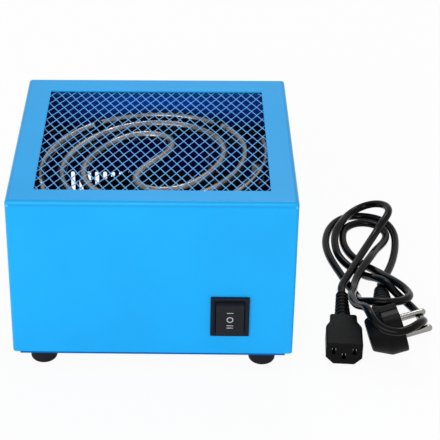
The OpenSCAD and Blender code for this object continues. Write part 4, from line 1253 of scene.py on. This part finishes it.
class WATCHDRYER_OT_wiring(bpy.types.Operator):
    """Terminal block and the finishes of the inside wires"""
    bl_idname = "watchdryer.wiring"
    bl_label = "Wiring"

    SLEEVES = {
        "wire_live": ("#5a3119", "wire_brown"), "wire_neutral": ("#2c4a91", "wire_blue"),
        "wire_earth": ("#5c9a33", "wire_green"), "wire_switched": ("#5a3119", "wire_brown"),
        "wire_cutout": ("#401812", "wire_red"), "wire_heater": ("#401812", "wire_red"),
        "wire_fan": ("#2a2a2e", "black_plastic"),
    }

    def execute(self, context):
        finishes = {}
        for node, (code, slot) in self.SLEEVES.items():
            if code not in finishes:
                finishes[code] = soft_vinyl("sleeve_" + slot, srgb(code), 0.42)
            paint_node(finishes[code], node)
            smooth = NODES[node].modifiers.new("round sleeve", "SUBSURF")
            smooth.levels = smooth.render_levels = 1
        paint_node(glazed_ceramic("terminal_ceramic", srgb("#ddd8ca")), "terminal_block")
        paint_node(plated_metal("terminal_brass", srgb("#c2a058"), 0.28), "terminal_screws")
        return {"FINISHED"}


# Feet


class WATCHDRYER_OT_feet(bpy.types.Operator):
    """Four tapered rubber feet with a rounded tread and a screw recess"""
    bl_idname = "watchdryer.feet"
    bl_label = "Feet"

    BORE = 3.1
    RECESS = 4.5
    RECESS_DEPTH = 5.0
    WAIST = 7.0
    TREAD = 2.4

    def execute(self, context):
        rubber = foot_rubber("foot_rubber", srgb("#131418"))
        for node in ("foot_front_left", "foot_front_right", "foot_rear_left", "foot_rear_right"):
            low, high = corners(node)
            top = (high.x - low.x) / 2
            profile = [(self.BORE, high.z), (top - 0.5, high.z), (top, high.z - 0.6),
                       (top, self.WAIST)]
            for k in range(9):
                a = math.pi / 2 * k / 8
                profile.append((top - 0.1 - self.TREAD * (1 - math.cos(a)),
                                self.TREAD * (1 - math.sin(a))))
            profile += [(self.RECESS + 0.5, 0.0), (self.RECESS, 0.5),
                        (self.RECESS, self.RECESS_DEPTH), (self.BORE, self.RECESS_DEPTH)]
            shape = Shape()
            shape.lathe(profile, 64, Matrix.Translation(((low.x + high.x) / 2,
                                                         (low.y + high.y) / 2, 0)), closed=True)
            shape.piece("rubber_" + node, rubber, (node,), crease=32.0)
        return {"FINISHED"}


# Switch


class WATCHDRYER_OT_switch(bpy.types.Operator):
    """Three-position rocker switch: housing with its bezel, hollowed rocker and printed marks"""
    bl_idname = "watchdryer.switch"
    bl_label = "Switch"

    AXIS = Vector((52.0, -89.0, 44.0))
    PANEL = -88.5
    PROUD = 2.2
    REACH = 12.4
    HOLLOW = 60.0
    FACE = -4.0
    BACK = 4.0
    TIP = 11.3
    HALF_WIDTH = 9.3
    PIVOT = 1.5
    INK_OUT = 0.14
    INK_IN = 0.16
    BAR_HALF = 0.30
    PAIR_HALF = 0.29
    PAIR_OFFSET = 0.88
    RING_INSIDE = 1.6
    RING_OUTSIDE = 2.25

    def execute(self, context):
        look = settings("switch")
        self.housing(look)
        self.rocker(look)
        self.marks(look)
        paint_node(plated_metal("contact_brass", srgb("#c2a058"), 0.28), "contact_lever",
                   "switch_tabs")
        paint_node(plated_metal("plunger_steel", srgb("#b5b8bc"), 0.25), "rocker_plunger")
        return {"FINISHED"}

    def housing(self, look):
        front = self.PANEL - self.PROUD
        r = in_mm(look.corner)
        shape = Shape()
        rings = []
        for w, h, y in ((19.0, 25.6, front + 16.0), (19.0, 25.6, front + 0.5),
                        (19.4, 26.0, front + 0.12), (19.9, 26.5, front),
                        (24.8, 29.4, front), (25.6, 30.2, front + 0.2), (26.0, 30.6, front + 0.7),
                        (26.0, 30.6, self.PANEL), (21.8, 27.4, self.PANEL),
                        (21.8, 27.4, self.PANEL + 20.0)):
            rings.append([Vector((self.AXIS.x + x, y, self.AXIS.z + z))
                          for x, z in rounded_rect(w, h, r if w > 20 else 0.4)])
        shape.loft(rings)
        # The frame colour holds a painted blue reflection of the case.
        shape.piece("switch_housing", moulded_plastic("switch_frame_painted_reflection", look.frame, 0.40, 1700.0),
                    ("switch_body",), crease=50.0)

    def face_y(self, z):
        """Depth of the hollowed face at a height, from the rocker's axis."""
        return self.FACE - self.HOLLOW + math.sqrt(self.HOLLOW ** 2 - z * z)

    def rocker(self, look):
        """Hollowed face, round ends that swing in the housing, and a flat back."""
        heights = [self.TIP - 2 * self.TIP * k / 24 for k in range(25)]
        face = [(self.face_y(z), z) for z in heights]
        low = math.atan2(-self.TIP, self.face_y(self.TIP))
        back = math.atan2(-math.sqrt(self.REACH ** 2 - self.BACK ** 2), self.BACK)
        turns = [low + (back - low) * k / 8 for k in range(1, 9)]
        end = [(self.REACH * math.cos(a), self.REACH * math.sin(a)) for a in turns]
        outline = face + end + [(y, -z) for y, z in reversed(end)]
        half = self.HALF_WIDTH
        shape = Shape()
        shape.loft([[self.AXIS + Vector((x, y, z)) for y, z in outline] for x in (-half, half)])
        for side in (-1, 1):
            shape.lathe([(self.PIVOT, 0.0), (self.PIVOT, 0.95)], 24,
                        aim(self.AXIS + Vector((side * (half - 0.05), 0, 0)), (side, 0, 0)))
        rocker = shape.piece("rocker_cap", moulded_plastic("rocker_plastic", look.rocker, 0.48,
                                                           1500.0, 0.00008),
                             ("rocker",), "rocker", 30.0)
        round_edges(rocker, 0.45, 3, 30.0)

    def marks(self, look):
        half, pitch = in_mm(look.mark_width) / 2, in_mm(look.mark_pitch)
        shape = Shape()

        def slab(grid):
            """A thin curved plate over rows of (x, z) points on the hollowed face."""
            fronts = [[self.AXIS + Vector((x, self.face_y(z) - self.INK_OUT, z)) for x, z in row]
                      for row in grid]
            backs = [[p + Vector((0, self.INK_OUT + self.INK_IN, 0)) for p in row]
                     for row in fronts]
            for one, two, three, four in zip(fronts, fronts[1:], backs, backs[1:]):
                shape.loft([[a, b, c, d] for a, b, c, d in zip(one, two, four, three)])

        def bar(z, tall):
            slab([[(-half, z + s * tall), (half, z + s * tall)] for s in (-1, 0, 1)])

        bar(pitch, self.BAR_HALF)
        bar(-pitch + self.PAIR_OFFSET, self.PAIR_HALF)
        bar(-pitch - self.PAIR_OFFSET, self.PAIR_HALF)
        inside, outside = self.RING_INSIDE, self.RING_OUTSIDE
        steps = 40
        ring = []
        for k in range(steps):
            a = math.tau * k / steps
            section = []
            for radius, depth in ((inside, self.INK_IN), (inside, -self.INK_OUT),
                                  (outside, -self.INK_OUT), (outside, self.INK_IN)):
                x, z = radius * math.cos(a), radius * math.sin(a)
                section.append(self.AXIS + Vector((x, self.face_y(z) + depth, z)))
            ring.append(section)
        shape.loft(ring, closed=True)
        shape.piece("rocker_marks", printed_mark("rocker_ink", look.marks),
                    (), "rocker")


# Inlet


class WATCHDRYER_OT_inlet(bpy.types.Operator):
    """Recessed power inlet with its blades and screws"""
    bl_idname = "watchdryer.inlet"
    bl_label = "Power inlet"

    def execute(self, context):
        paint_node(moulded_plastic("inlet_plastic", srgb("#1b1c20"), 0.42, 1500.0), "inlet_body")
        paint_node(plated_metal("inlet_blade_plate", srgb("#c8c4b8"), 0.22), "inlet_blades")
        paint_node(plated_metal("inlet_screw_zinc", srgb("#b9bcc0"), 0.28), "inlet_screws",
                   "inlet_nuts")
        return {"FINISHED"}


class WATCHDRYER_PT_panel(bpy.types.Panel):
    """Lists the dryer's pieces and their settings"""
    bl_idname = "WATCHDRYER_PT_panel"
    bl_label = "Watch Dryer"
    bl_space_type = "VIEW_3D"
    bl_region_type = "UI"
    bl_category = "Watch Dryer"

    def draw(self, context):
        layout = self.layout
        for step in STEPS:
            layout.operator(step.bl_idname)
        for key, group in GROUPS.items():
            box = layout.box()
            box.label(text=group.__doc__)
            for name in group.__annotations__:
                box.prop(getattr(context.scene, key), name)


STEPS = (
    WATCHDRYER_OT_stage, WATCHDRYER_OT_lead, WATCHDRYER_OT_case, WATCHDRYER_OT_mesh,
    WATCHDRYER_OT_heater, WATCHDRYER_OT_fan, WATCHDRYER_OT_wiring, WATCHDRYER_OT_feet,
    WATCHDRYER_OT_switch, WATCHDRYER_OT_inlet,
)


def register():
    for cls in (*GROUPS.values(), *STEPS, WATCHDRYER_PT_panel):
        bpy.utils.register_class(cls)
    for key, group in GROUPS.items():
        setattr(bpy.types.Scene, key, PointerProperty(type=group))


def unregister():
    for key in GROUPS:
        delattr(bpy.types.Scene, key)
    for cls in reversed((*GROUPS.values(), *STEPS, WATCHDRYER_PT_panel)):
        bpy.utils.unregister_class(cls)


def main():
    register()
    bpy.ops.watchdryer.stage()
    bpy.ops.watchdryer.lead()
    bpy.ops.watchdryer.case()
    bpy.ops.watchdryer.mesh()
    bpy.ops.watchdryer.heater()
    bpy.ops.watchdryer.fan()
    bpy.ops.watchdryer.wiring()
    bpy.ops.watchdryer.feet()
    bpy.ops.watchdryer.switch()
    bpy.ops.watchdryer.inlet()


if __name__ == "__main__":
    main()
